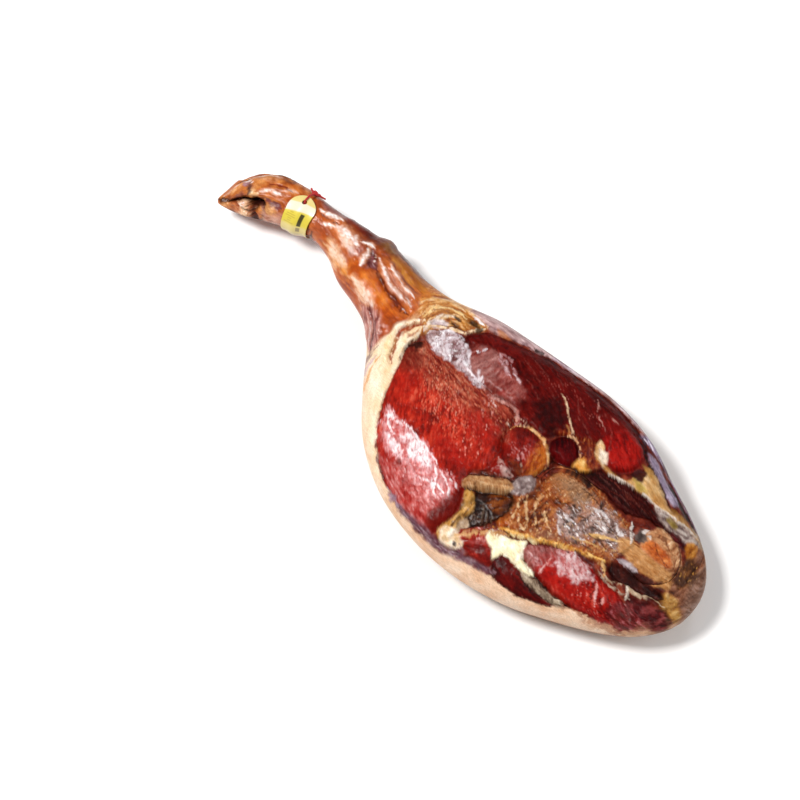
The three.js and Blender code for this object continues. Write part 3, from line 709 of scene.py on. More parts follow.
def lay_far_fat(face):
    """The small dark muscle in a ring of fat, the cream wedges and the long dark recess beside the bone."""
    small = [
        (126, 34), (131, 46), (139, 50), (150, 46), (160, 37), (159, 27), (150, 22), (139, 21), (131, 25),
    ]
    face.muscle(small, "1c0204 340306 4e0507 600a0c 701a1c", 2.5, 7, -40, 132, groove=2.6, gloss=0.03)
    between = [
        (120, 44), (128, 52), (140, 56), (156, 62), (168, 52), (178, 40), (172, 34), (162, 42), (152, 52),
        (136, 52), (126, 44),
    ]
    face.patch(between, "3c0807 601509 8c3c1a bd7c48", face.streaks(-52, 7, 1.4, 133), 2.4, 0.6, 0.85)
    face.line([(160, 42), (165, 36), (170, 30)], 3.2, "a8541c dc9a50", 0.4, 0.85, 139)
    face.patch(
        [(158, 27), (160, 39), (170, 36), (180, 31), (170, 28)],
        "a8641c d59440 f0cc88", face.mid, 2, 1.2, 0.95, 1, 0.4,
    )
    wedge = [
        (160, 66), (166, 67), (172, 58), (182, 51), (194, 48), (206, 52), (210, 62), (212, 74), (222, 78),
        (236, 70), (250, 62), (262, 60), (286, 62), (292, 58), (262, 54), (236, 53), (212, 50), (190, 45),
        (174, 47), (164, 54),
    ]
    face.patch(
        wedge, "7c4a20 b07c42 d2a872 ecd0a8", 0.5 * face.streaks(-14, 14, 2.6, 134) + 0.4 * face.soft + 0.1,
        1.2, 1.4, 0.97,
    )
    face.dab(1, (172, 56, 13, 6, -40), 0.9, "f0dcc0 fff8ec", face.mid)
    face.dab(1, (220, 57, 12, 5), 0.75, "a08838 cdb464", face.mid)
    face.dab(1, (216, 76, 11, 5, -10), 0.9, "a87838 d2a45e", face.mid)
    face.dab(1, (268, 62, 20, 4.5), 0.95, "6c451c 9c6c30 bd8f50", face.mid)
    # A sunk hole by the wedge, painted near-black: painted shade
    face.patch(
        [(204, 60), (207, 70), (213, 73), (217, 63), (211, 58)],
        "240505 480b0a", face.mid, 1.4, -1.8, 0.97,
    )
    face.line(
        [(131, 47), (136, 51), (143, 51), (150, 48), (156, 43), (160, 36)],
        1.5, "c07c50 eac298", 0.9, 0.95, 136, 0.4,
    )
    # The long sunk recess beside the bone, painted near-black: painted shade
    recess = [
        (160, 21), (172, 33), (182, 43), (200, 47), (222, 50), (244, 49), (262, 42), (286, 38), (262, 35),
        (246, 33), (236, 26), (222, 23), (200, 24), (182, 22),
    ]
    grainy = face.streaks(2, 22, 1.3, 137)
    face.patch(recess, "120302 260504 3c0807 642c22", grainy, 1.2, -4.6, 0.98, 1, 0.45, 0.1)
    thin = (
        [(186, 37), (206, 36), (226, 33)], [(196, 31), (216, 29), (234, 28)], [(180, 28), (200, 27)],
        [(204, 42), (226, 41), (244, 38)],
    )
    face.lines(thin, "4c1c18 7c544c", 0.9, 0.6, 0.5, 138)
    face.line(
        [(186, 44), (204, 48), (224, 52), (250, 54), (276, 58), (292, 60)],
        1.4, "c9b8a8 f1e8dc", 0.8, 0.9, 143,
    )
    face.line([(204, 47), (224, 50), (244, 51)], 1.3, "2c0c0c 5a2a28", -0.4, 0.85, 144)
    streaky = [(244, 51), (262, 55), (290, 59), (296, 52), (284, 43), (266, 42), (252, 45)]
    mask = face.patch(streaky, "3a2624 74605c a8968e d9cec4", face.streaks(14, 7, 1.5, 145), 1.8, 0.2, 0.95)
    face.dab(mask, (264, 50, 9, 4.5), 0.8, "7c6424 b0964c", face.mid)
    face.patch([(266, 42), (280, 45), (292, 42), (290, 35), (276, 36)], MAROON, face.mid, 1.6, -1.4, 0.95)
    face.patch(
        [(288, 47), (296, 54), (301, 46), (298, 34), (292, 36)],
        "6c3410 a8641c d59a4c", face.mid, 1.6, 0.4, 0.95,
    )


def lay_butt(face):
    """The dried crust of the butt end, and the grey-purple skin along the far rim, its pale lilac partly
    painted reflection.
    """
    drift = face.streaks(-25, 14, 2.2, 152)
    crust = [
        (294, 60), (308, 54), (326, 30), (334, 0), (326, -24), (312, -18), (304, -4), (302, 12), (298, 34),
    ]
    rough = 0.5 * face.mid + 0.5 * face.streaks(70, 9, 1.8, 153)
    face.dab(1, (306, -62, 26, 6, 36), 0.8, "bc8458 e0b48c f0d4b4", drift)
    face.patch(crust, "34180e 6a3c26 946248 b48c74", rough, 4, -0.4, 0.96, 2)
    face.height += 1.4 * smooth(296, 306, face.x) * (rough - 0.5)
    face.patch(
        [(298, 40), (312, 36), (318, 20), (312, 6), (302, 10)],
        "1c0c06 44240f 845428", face.mid, 3.5, -1.2, 0.8, 2,
    )
    face.flecks(face.blob(308, 22, 11, 20) * 0.9, "8c5c24 c08c48", 60, 3, 1.4, 154, 0.14)
    face.patch(
        [(316, 40), (328, 22), (334, 0), (328, -8), (320, 6), (314, 24)],
        "503830 846454 a88c80", drift, 4, 0, 0.75,
    )
    face.dab(1, (322, -34, 16, 9, 50), 0.8, "6c4024 a87850 d0a880", rough)
    face.dab(1, (300, -56, 20, 7, 24), 0.5, "a87048 d4a880 ecd0b0", rough)
    face.patch(
        [(304, -8), (316, -4), (328, -14), (320, -22), (304, -18)],
        "7c4c24 b0803c cba468", face.mid, 2.5, 0.3, 0.9,
    )
    # Grey-purple and lilac along the far rim, palest in a long streak: partly the skin's own colour, partly
    # painted reflection
    band = [
        (184, 104), (214, 97), (240, 87), (266, 76), (292, 64), (302, 60), (302, 70), (270, 86), (230, 101),
        (190, 112),
    ]
    face.patch(band, "2c1c24 5a4a58 8a7c92 bdb0c6 eae4ee", drift, 3, 0.5, 0.95, 2)
    light = [(200, 93), (214, 92), (236, 82), (256, 73), (250, 67), (232, 74), (210, 85)]
    face.patch(light, "6c6074 a598ae d5cadc", face.streaks(-24, 16, 1.4, 155), 2.2, 0.6, 0.9, 2)
    # Grooves along the far rim, painted near-black: painted shade
    face.line(
        [(180, 100), (196, 92), (208, 84), (222, 79), (236, 71), (248, 64), (256, 62)],
        2.4, "0e0607 2c181c", -1.6, 0.92, 156,
    )
    face.line([(236, 83), (254, 76), (270, 70), (284, 66)], 4.0, "140908 382422", -1.0, 0.95, 157)
    face.patch(
        [(280, 66), (292, 65), (302, 58), (292, 52), (282, 59)],
        "8c7664 bda88e", face.mid, 2, 0.2, 0.85,
    )
    # Lilac-grey on the far rim: partly the skin's own grey, partly painted reflection
    far_rim = face.streaks(8, 16, 3, 159)
    edge_skin = [
        (24, 104), (60, 112), (100, 117), (140, 118), (180, 112), (184, 122), (140, 130), (90, 130),
        (30, 118),
    ]
    face.patch(edge_skin, "6c4c54 a08a98 cfc0cc efe8ee", far_rim, 2.5, 0.3, 0.85, 2)


def lay_bone_flesh(face):
    """Dried brown flesh and skins over and round the hip bone."""
    body = [
        (136, -16), (146, -6), (150, 14), (160, 23), (176, 24), (200, 22), (222, 20), (244, 14), (252, 2),
        (250, -14), (244, -30), (226, -34), (204, -44), (186, -54), (164, -62), (144, -68), (134, -60),
        (131, -48), (136, -34),
    ]
    curve = face.streaks(-48, 8, 1.5, 162, 0.5)
    fan = face.streaks(24, 8, 1.8, 163, -0.3)
    mask = face.patch(body, FIBROUS, 0.05 + 0.5 * curve + 0.4 * face.mid, 2.2, 2.6, 0.98, 1.5, 0.5, 0.35)
    face.height += mask * (2.0 * (curve - 0.5) + 1.4 * (face.mid - 0.5) + 1.0 * (fan - 0.5))
    face.dab(
        mask, (172, 8, 34, 17, -4), 0.95, BONE, 0.1 + 0.45 * face.streaks(66, 9, 1.7, 164) + 0.35 * face.mid
    )
    lilac = mask * np.clip(face.blob(220, 0, 42, 22, -10) + face.blob(196, -22, 28, 17, -15), 0, 1)
    face.paint(lilac * 0.85, GREY, np.clip(0.1 + 0.45 * fan + 0.5 * face.mid, 0, 1), 0.4, 0.8)
    face.dab(mask, (170, -14, 12, 7), 0.85, "4c1c0a 7c3614 9c5228", face.mid)
    face.dab(mask, (226, -22, 20, 9, 22), 0.8, "5a1e12 8c4424 b87844 dcae78", fan)
    face.dab(mask, (146, -64, 14, 8, 30), 0.9, "5c1e08 a04c14 cd8238", face.mid)
    face.dab(mask, (186, -44, 18, 8, 28), 0.6, "6c4030 8c6454", face.mid)
    face.flecks(mask * face.blob(164, -38, 28, 24) * 0.75, "bd7838 e6bc88", -56, 5, 1.1, 165, 0.16, 0.5)
    face.flecks(mask * face.blob(160, -38, 28, 24) * 0.85, "3c1204 6a2c10", -52, 7, 1.2, 166, 0.2, 0.5)
    face.flecks(lilac * 0.85, "d0c4c4 ffffff", -12, 4.5, 1.1, 167, 0.16, gloss=1.0)
    face.flecks(lilac * 0.85, "1c110e 4a342c", 10, 3.5, 1.3, 168, 0.16)
    face.dab(mask, (176, 12, 26, 12, -4), 0.5, "5c4434 8c7058 b09478", face.streaks(66, 9, 1.7, 173))
    face.flecks(mask * face.blob(170, 12, 30, 14) * 0.7, "4c2a18 745038", 66, 5, 1.0, 169, 0.16)
    face.flecks(mask * 0.5, "b88858 e6c8a0", -20, 3.5, 1.0, 170, 0.08)
    ribs = face.blob(158, -30, 26, 24) * smooth(0.5, 0.75, face.streaks(-62, 14, 2.6, 172, 0.4))
    face.paint(mask * ribs * 0.75, "240a04 4c1c0a 6c2c10", face.mid)
    face.height -= 0.9 * mask * ribs
    strokes = (
        [(145, -26), (152, -36), (162, -46), (167, -57)],
        [(154, -22), (162, -34), (172, -44)],
        [(142, -32), (147, -44), (150, -56)],
        [(168, -26), (176, -34), (188, -40)],
        [(152, -46), (158, -53), (166, -54)],
        [(158, -14), (156, -22), (160, -30)],
    )
    face.lines(strokes, "b87c48 f0d2a4", 1.5, 0.9, 0.85, 171)
    white = (
        [(184, -13), (190, -17), (197, -15)], [(185, -26), (190, -33), (197, -37)],
        [(208, -1), (216, 2), (224, -5)], [(198, 7), (208, 10), (220, 6)], [(226, 10), (234, 4), (240, 8)],
        [(182, -20), (186, -28)],
    )
    face.lines(white, "c0b4b4 f4eeec", 1.8, 0.6, 0.75, 178, 0.9)
    # Small sunk pits, painted near-black: painted shade
    for x, y, reach in (
        (191, -20, 3.5), (212, -9, 4), (200, -28, 3), (226, -1, 3), (204, 17, 4), (184, -4, 3), (216, -14, 3)
    ):
        away = np.hypot(face.x - x, face.y - y)
        face.paint(0.85 * smooth(reach, 0.6, away), "150b08 3c2820", face.fine)
        face.height -= 1.2 * np.exp(-((away / reach) ** 2))
    folds = (
        [(168, -12), (178, -8), (190, -10), (204, -6)], [(200, -38), (214, -30), (230, -26)],
        [(206, -18), (220, -14), (236, -16)], [(180, 18), (196, 16), (210, 14)],
    )
    face.lines(folds, "2c140c 5c3828", 1.3, -1.0, 0.8, 186)
    nub = [(129, -14), (136, -8), (144, -10), (147, -18), (142, -28), (133, -34), (127, -28), (126, -20)]
    face.patch(
        nub, "3c2a28 74605e a59490 d9d0d2", 0.5 * face.mid + 0.5 * face.fine, 1.6, 2.6, 0.97, 1, 0.4, 0.8
    )
    face.line(
        [(127, -30), (126, -20), (129, -12), (137, -6), (145, -8)],
        1.4, "1c0f0c 47302a", -1.0, 0.9, 190,
    )
    # The gap round the bone's end and along its far side, painted near-black as shade
    face.line([(139, 24), (143, 14), (142, 4), (140, -5)], 3.4, GAP_SHADE, -4.0, 0.97, 191, 0.3)
    face.line([(143, 15), (152, 22), (163, 26), (176, 26), (192, 24)], 2.2, GAP_SHADE, -1.6, 0.85, 192)


def lay_hollows(face):
    """The ridges and black hollows between the big muscle and the bone."""
    steep = face.streaks(58, 7, 1.3, 202)
    # The sunk hollow between the big muscle and the bone, painted near-black: painted shade
    hollow = [
        (98, -48), (112, -44), (126, -38), (138, -36), (144, -50), (142, -66), (128, -88), (114, -92),
        (106, -76), (108, -60),
    ]
    face.patch(hollow, "0a0403 180a07 2c140c 4c2818", steep, 2.2, -5.5, 0.98, 1.6, 0.4, 0.5)
    warm = face.blob(131, -50, 13, 13)
    face.paint(warm * 0.85, "240a04 481a08 7c3c14 a86428", 0.2 + 0.7 * face.streaks(50, 6, 1.5, 203))
    face.height += 2.4 * warm
    face.flecks(face.blob(126, -72, 14, 14) * 0.55, "4c3020 8c7058", 58, 6, 0.8, 204, 0.12, gloss=0.6)
    grey = (
        [(119, -58), (127, -68), (133, -80)], [(127, -62), (134, -70), (137, -78)],
        [(113, -66), (121, -78), (126, -88)], [(132, -60), (138, -68), (141, -76)],
    )
    face.lines(grey, "44301f 8c7460", 0.8, 0.6, 0.55, 205, 0.6)
    woody = 0.6 * face.streaks(35, 8, 1.4, 214) + 0.4 * face.fine
    face.lean += (0.5 - face.lean) * face.blob(126, -54, 40, 34)
    far_ridge = [
        (90, -50), (100, -41), (112, -33), (124, -27), (131, -30), (127, -38), (112, -49), (98, -58),
        (90, -58),
    ]
    face.patch(far_ridge, "6c4020 a5744a c69c70 e2c6a0", woody, 1.4, 4.2, 0.97, 1.4)
    # Dark grooves along the far ridge: painted shade
    face.line([(90, -46), (104, -36), (118, -27), (128, -23)], 1.8, "1c0f0a 4c342a", -1.6, 0.9, 215)
    face.line([(90, -60), (100, -60), (112, -51), (126, -41)], 2.4, GAP_SHADE, -1.6, 0.9, 216)
    near_ridge = [
        (98, -60), (110, -62), (117, -72), (114, -88), (118, -102), (110, -111), (103, -104), (106, -88),
        (107, -72), (100, -66),
    ]
    face.patch(
        near_ridge, "8a5824 b8863f d5a96c ecd2a2", 0.6 * face.streaks(84, 8, 1.5, 217) + 0.4 * face.mid, 1.2,
        3.4, 0.96, 1.3,
    )
    face.line([(110, -66), (113, -78), (110, -92), (113, -104)], 1.5, "3c1e0e 6c4424", -1.2, 0.85, 218)
    face.line([(104, -68), (106, -84), (103, -100)], 1.2, "5c3414 8c5a2c", -0.6, 0.7, 219)
    face.patch([(116, -82), (123, -85), (122, -95), (115, -93)], "8c6c4c c9b096", face.mid, 1.2, 1.0, 0.9)


def lay_near_muscles(face):
    """The star of cream fat, the yellow line of fat and the muscles along the near side."""
    low = [
        (122, -92), (132, -84), (142, -77), (152, -80), (160, -92), (164, -101), (150, -105), (132, -104),
        (122, -102),
    ]
    mask = face.muscle(low, "4c0a08 7c150f 9c2a20 b84c40", 1.5, 6, 40, 222, groove=1.0)
    face.flecks(mask * face.blob(138, -84, 14, 8, 30) * 0.9, "c9766c f0c6be", 42, 5, 1.2, 223, 0.35)
    face.dab(mask, (150, -97, 18, 6, -8), 0.8, "4c0807 74100c", face.mid)
    thin = [(163, -86), (182, -84), (204, -90), (232, -88), (218, -97), (196, -104), (172, -105), (164, -98)]
    face.muscle(thin, "200304 420606 5e0a08 781611", 1.6, 6, -4, 224, groove=1.4)
    near = [
        (176, -67), (186, -58), (200, -49), (208, -42), (224, -39), (250, -41), (280, -42), (302, -48),
        (296, -58), (274, -70), (248, -78), (220, -81), (198, -80), (186, -74),
    ]
    mask = face.muscle(near, "4c0604 7c0d08 9a150e ad2419 c24c3e", 6.2, 9, -28, 225, groove=2.4)
    dull = mask * smooth(214, 190, face.x - 0.3 * (face.y + 60) + 8 * (face.mid - 0.5))
    face.paint(dull * 0.85, "54201c 884844 a8706c c89c9a", face.streaks(-30, 7, 1.6, 226), 0.36, 0.7)
    face.dab(mask, (222, -68, 26, 10), 0.75, "8c0f0a ab1a12 bd2a1e", face.mid)
    face.flecks(mask * face.blob(256, -60, 36, 16, 5) * 0.7, "bd483c d98c82", -56, 5, 0.9, 227, 0.16)
    face.flecks(mask * face.blob(256, -60, 36, 16, 5) * 0.8, "3c0504 5e0c08", -56, 7, 1.2, 228, 0.2)
    # A pale bloom on the near muscle, partly painted highlight, and pale streaks of painted highlight
    bloom_and_highlight = [(204, -43), (216, -39), (234, -41), (245, -47), (240, -56), (226, -61), (212, -62), (207, -54)]
    cells = 0.5 * face.fine + 0.5 * face.mid
    ragged = smooth(-3, 3, face.depth(bloom_and_highlight) + 8 * (cells - 0.5))
    face.paint(
        mask * ragged * 0.9, "9c2a26 b86462 d0a0a0 e0c8c8 f4ecec", np.clip(1.0 * cells + 0.06, 0, 1), 0.3, 1.0
    )
    face.height += 1.4 * mask * ragged * (cells - 0.5)
    face.flecks(mask * ragged * 0.8, "8c201c b85450", -30, 3, 1.3, 229, 0.22)
    pale = (
        [(202, -58), (204, -67), (205, -77)], [(250, -46), (256, -55), (262, -62)], [(262, -50), (267, -57)],
        [(284, -42), (292, -46), (296, -51)],
    )
    face.lines(pale, "d98f86 f8dcd8", 1.6, 0.3, 0.8, 230, 1.0)
    # A groove painted near-black as shade
    face.line([(184, -76), (202, -82), (226, -83), (248, -80)], 2.6, GAP_SHADE, -2.0, 0.92, 236)
    face.line([(248, -80), (262, -77), (280, -69), (300, -58)], 2.0, "7c3c20 b8805c", -1.0, 0.6, 253)
    hatch = [(286, -44), (300, -46), (314, -40), (317, -34), (306, -52), (292, -62), (282, -58)]
    face.patch(hatch, "5c2c1c 98644c cca084", face.streaks(40, 7, 1.3, 237), 3, 0.4, 0.5)
    end = [
        (276, -46), (286, -41), (300, -31), (316, -25), (324, -26), (321, -34), (309, -46), (297, -58),
        (284, -62), (273, -60),
    ]
    face.patch(end, "34080a 5c1416 7c2628 a86064", face.streaks(-28, 8, 1.6, 254), 2.2, -0.6, 0.9, 1.4)
    tail = face.streaks(-10, 8, 1.2, 238)
    face.patch(
        [(184, -80), (202, -84), (220, -84), (240, -81), (236, -87), (214, -90), (196, -90)],
        "3c2e24 7c6a58 ad9a84 d9cab4", tail, 1.4, 2.2, 0.96,
    )
    # A groove painted near-black as shade
    face.line([(190, -91), (208, -92), (230, -88)], 1.6, GAP_SHADE, -0.8, 0.85, 239)
    star = [
        (146, -74), (158, -70), (168, -67), (176, -61), (180, -70), (187, -77), (200, -79), (203, -84),
        (186, -86), (174, -83), (166, -86), (162, -97), (157, -90), (150, -86), (143, -81),
    ]
    face.patch(star, "ecc98a f8e6b8 fdf4cf fffce8", 0.3 + 0.7 * face.mid, 1.4, 2.6, 0.98, 1.6, 0.4)
    face.flecks(face.blob(166, -76, 24, 12) * 0.5, "d9a458 ecc88c", 20, 5, 1.2, 240, 0.14)
    face.patch(
        [(106, -101), (114, -96), (122, -97), (132, -103), (124, -112), (112, -112)],
        "dcb888 f3dcc0 fffaf0", face.mid, 1.8, 1.8, 0.96, 1.6,
    )
    # A small pit, painted near-black as shade
    face.dab(1, (124, -106, 3.2, 3.2), 0.95, GAP_SHADE, face.fine)
    face.line(
        [(120, -100), (130, -91), (140, -81), (150, -73), (158, -67)],
        2.6, "a86c38 e0b482", 1.6, 0.95, 241,
    )
    face.line([(128, -104), (142, -108), (160, -106), (174, -102)], 2.4, "6c444c a88c94", 0.3, 0.75, 242)
    line = [
        (142, -72), (152, -66), (166, -60), (180, -54), (192, -48), (204, -42), (216, -37), (230, -31),
        (244, -26),
    ]
    face.line(line, 3.0, "b8702c e2a850 f6d490", 2.0, 0.97, 243, 0.35)
    face.line([(158, -66), (172, -60), (186, -55)], 2.6, "e9c78c fbeec0", 0.5, 0.8, 244)
    face.line([(186, -50), (204, -46), (214, -42)], 1.6, "2c1410 5a3830", -0.8, 0.85, 245)
    # Hollows at the butt, painted dark as shade, with the flakes of fat between them
    butt_hollow = [
        (248, -22), (262, -18), (284, -14), (306, -12), (302, -22), (286, -28), (268, -34), (254, -33),
    ]
    face.patch(butt_hollow, "1c0706 34100c 5c2820", face.mid, 1.4, -4.2, 0.95, 1.2, 0.4, 0.3)
    face.patch(
        [(280, -35), (300, -26), (322, -19), (325, -26), (316, -37), (298, -43), (284, -42)],
        "240608 541416 8c4040", face.mid, 1.8, -2.6, 0.85,
    )
    flakes = (
        ([(252, -17), (262, -15), (274, -16)], 2.2, "8c7c80 d8ccd0"),
        (
            [(246, -33), (256, -37), (266, -35), (276, -31), (288, -28), (300, -22), (312, -18)],
            1.6, "94785c dcc4a8",
        ),
        ([(242, -36), (258, -40), (272, -39), (284, -36)], 1.8, "7c6050 ccb8a4"),
        ([(276, -30), (280, -36), (282, -40)], 2.0, "a08c7c e8dccc"),
        ([(214, -38), (228, -36), (242, -38)], 1.8, "3c1a18 74484a"),
        ([(240, -28), (248, -32), (252, -38)], 2.0, "c98a4c ecc890"),
    )
    for k, (points, width, codes) in enumerate(flakes):
        face.line(points, width, codes, 1.2, 0.9, 246 + k)
    purple = [
        (52, -111), (80, -117), (110, -119), (140, -113), (168, -107), (165, -103), (140, -107), (110, -112),
        (80, -110),
    ]
    face.patch(purple, "3c1a28 6c4450 9c808c", face.streaks(-4, 12, 1.6, 252), 1.8, -0.6, 0.85)


def lay_bone_face(face):
    """The bare bone that shows: its flat plate and the orange core at the butt."""
    plate = [(238, 2), (250, 8), (270, 11), (292, 10), (303, 4), (304, -5), (288, -12), (262, -13), (244, -8)]
    face.patch(
        plate, "8c5628 b47e4a c99866 dfb98a", 0.5 * face.streaks(4, 12, 1.8, 263) + 0.4 * face.mid, 1.8, 0.8,
        0.97, 1.4, 0.5, 0.2,
    )
    face.line([(244, 5), (256, 8), (272, 11), (292, 11)], 1.2, "7c3c14 a8642c", -0.6, 0.85, 264)
    rim = [(256, 24), (262, 37), (274, 38), (288, 32), (299, 20), (298, 8), (280, 6), (262, 8), (256, 14)]
    face.patch(
        rim, "7c4628 b07850 d5a67c ebcaa6", 0.5 * face.streaks(50, 6, 1.8, 265) + 0.5 * face.mid, 1.6, 0.6,
        0.97, 1.4, 0.5, 0.2,
    )
    core = [(258, 12), (263, 22), (274, 24), (288, 20), (295, 12), (282, 7), (268, 8)]
    face.patch(core, "742606 a84a12 c86c2c dc9858", 0.2 + 0.7 * face.mid, 2.4, -0.8, 0.92, 1.4, 0.4, 0.6)
    wood = (
        [(266, 23), (276, 15), (292, 12)], [(288, 30), (294, 22), (298, 12)],
        [(262, 28), (272, 30), (284, 26)], [(280, 34), (292, 28), (300, 18)],
    )
    face.lines(wood, "4c1c08 8c4420", 1.2, -0.6, 0.8, 266)
    disc = np.hypot(face.x - 252, face.y - 18)
    face.paint(0.95 * smooth(7.5, 5, disc + 2 * (face.fine - 0.5)), "2c221e 6a5c56", face.mid)
    stars = (
        [(250, 23), (256, 25), (261, 20)], [(240, 13), (246, 8), (250, 3)], [(244, 17), (246, 10)],
        [(238, 20), (242, 14), (244, 9)],
    )
    face.lines(stars, "c4b8b0 f0e8e0", 1.7, 0.5, 0.8, 271, 0.8)
    face.line([(212, -15), (224, -10), (234, -5), (242, 0)], 2.6, "c98a3c f1cf94", 1.0, 0.92, 276)
    face.line([(204, -30), (218, -24), (232, -18), (244, -12)], 1.6, "b8823c e6be84", 0.7, 0.8, 277)


def face_layers(x, y, level, side):
    """The cut face and its rim, at places seen from above. Side is 0 at the rim and 1 on top."""
    face = Layers(x, y, level)
    lay_fat_rim(face, side)
    edge = face.depth(FACE)
    face.paint(smooth(-1, 1.6, edge + face.fine - 0.5), "3c100a 641f12 94442e", face.mid)
    face.height -= RIND_EDGE_STEP * smooth(-2, 5, edge)
    lay_far_side(face)
    lay_butt(face)
    lay_far_fat(face)
    lay_shank_end(face)
    lay_round(face)
    lay_membranes(face)
    lay_bone_flesh(face)
    lay_hollows(face)
    lay_knuckle(face)
    lay_near_muscles(face)
    lay_bone_face(face)
    wall = smooth(0.34, 0.06, side + 0.16 * (face.mid - 0.5)) * smooth(40, 80, y)
    face.paint(0.85 * wall, "b08464 cfa684 e4c8ac", 0.5 * face.soft + 0.5 * face.mid)
    inner = smooth(0, 4, edge)
    face.wrinkle += 0.5 * inner
    face.height += inner * (0.7 * (face.mid - 0.5) + 0.4 * (face.fine - 0.5))
    face.tint *= (1 + 0.3 * inner * (cloud(x, y, 2.0, 17) - 0.5))[:, None]
    return face


# The shank and the trotter


def shank_layers(x, y, level, side):
    """Skin, sinews and toes, at places seen from above."""
    skin = Layers(x, y, level)
    along = skin.streaks(-14, 30, 5, 301)
    skin.paint(np.ones_like(x), SKIN, 0.2 + 0.25 * along + 0.45 * skin.soft, 0.34, 0.9)
    upper = smooth(74, 92, skin.y + 5 * (skin.mid - 0.5)) * smooth(-242, -226, skin.x)
    skin.paint(0.9 * upper, "2a0a04 4c1608 6c280c 7c3c14", 0.5 * along + 0.5 * skin.soft)
    # Form: hock, sinews, hollows
    for line, reach, rise in (
        ([(-152, 100), (-148, 90)], 11, 4),
        ([(-196, 95), (-178, 92)], 9, 2),
        ([(-228, 79), (-216, 79), (-202, 83)], 5, 2),
        ([(-200, 76), (-180, 74), (-166, 72)], 9, 2),
        ([(-148, 46), (-128, 42), (-104, 32), (-88, 24)], 9, 3),
        ([(-140, 75), (-122, 63), (-104, 57), (-83, 53)], 4, 2.6),
        ([(-126, 76), (-109, 69), (-94, 66), (-84, 64)], 4, 2.6),
        ([(-123, 70), (-108, 64), (-91, 61)], 1.8, -2.2),
        ([(-135, 62), (-125, 57), (-110, 51), (-88, 47), (-76, 46)], 3.6, -3.6),
        ([(-152, 72), (-145, 68), (-139, 63)], 5, -3.6),
        ([(-112, 80), (-96, 76), (-80, 74)], 5, -2),
        ([(-165, 78), (-156, 78), (-151, 68), (-150, 58)], 3.6, 1.8),
        ([(-118, 34), (-102, 22), (-88, 6)], 3, -1.4),
        ([(-110, 36), (-96, 24), (-82, 10)], 2.6, 1.2),
        ([(-126, 32), (-112, 22), (-98, 8)], 2.6, 0.8),
        ([(-222, 73), (-210, 75), (-200, 76)], 2, -1.2),
    ):
        skin.swell(line, reach, rise)
    lay_shank_colours(skin, along)
    lay_trotter(skin)
    skin.height += 0.4 * (skin.mid - 0.5) + 0.2 * (skin.fine - 0.5) + 0.8 * (skin.soft - 0.5)
    skin.wrinkle = np.full_like(x, 0.2)
    skin.tint *= (1 + 0.16 * (skin.fine - 0.5))[:, None]
    return skin


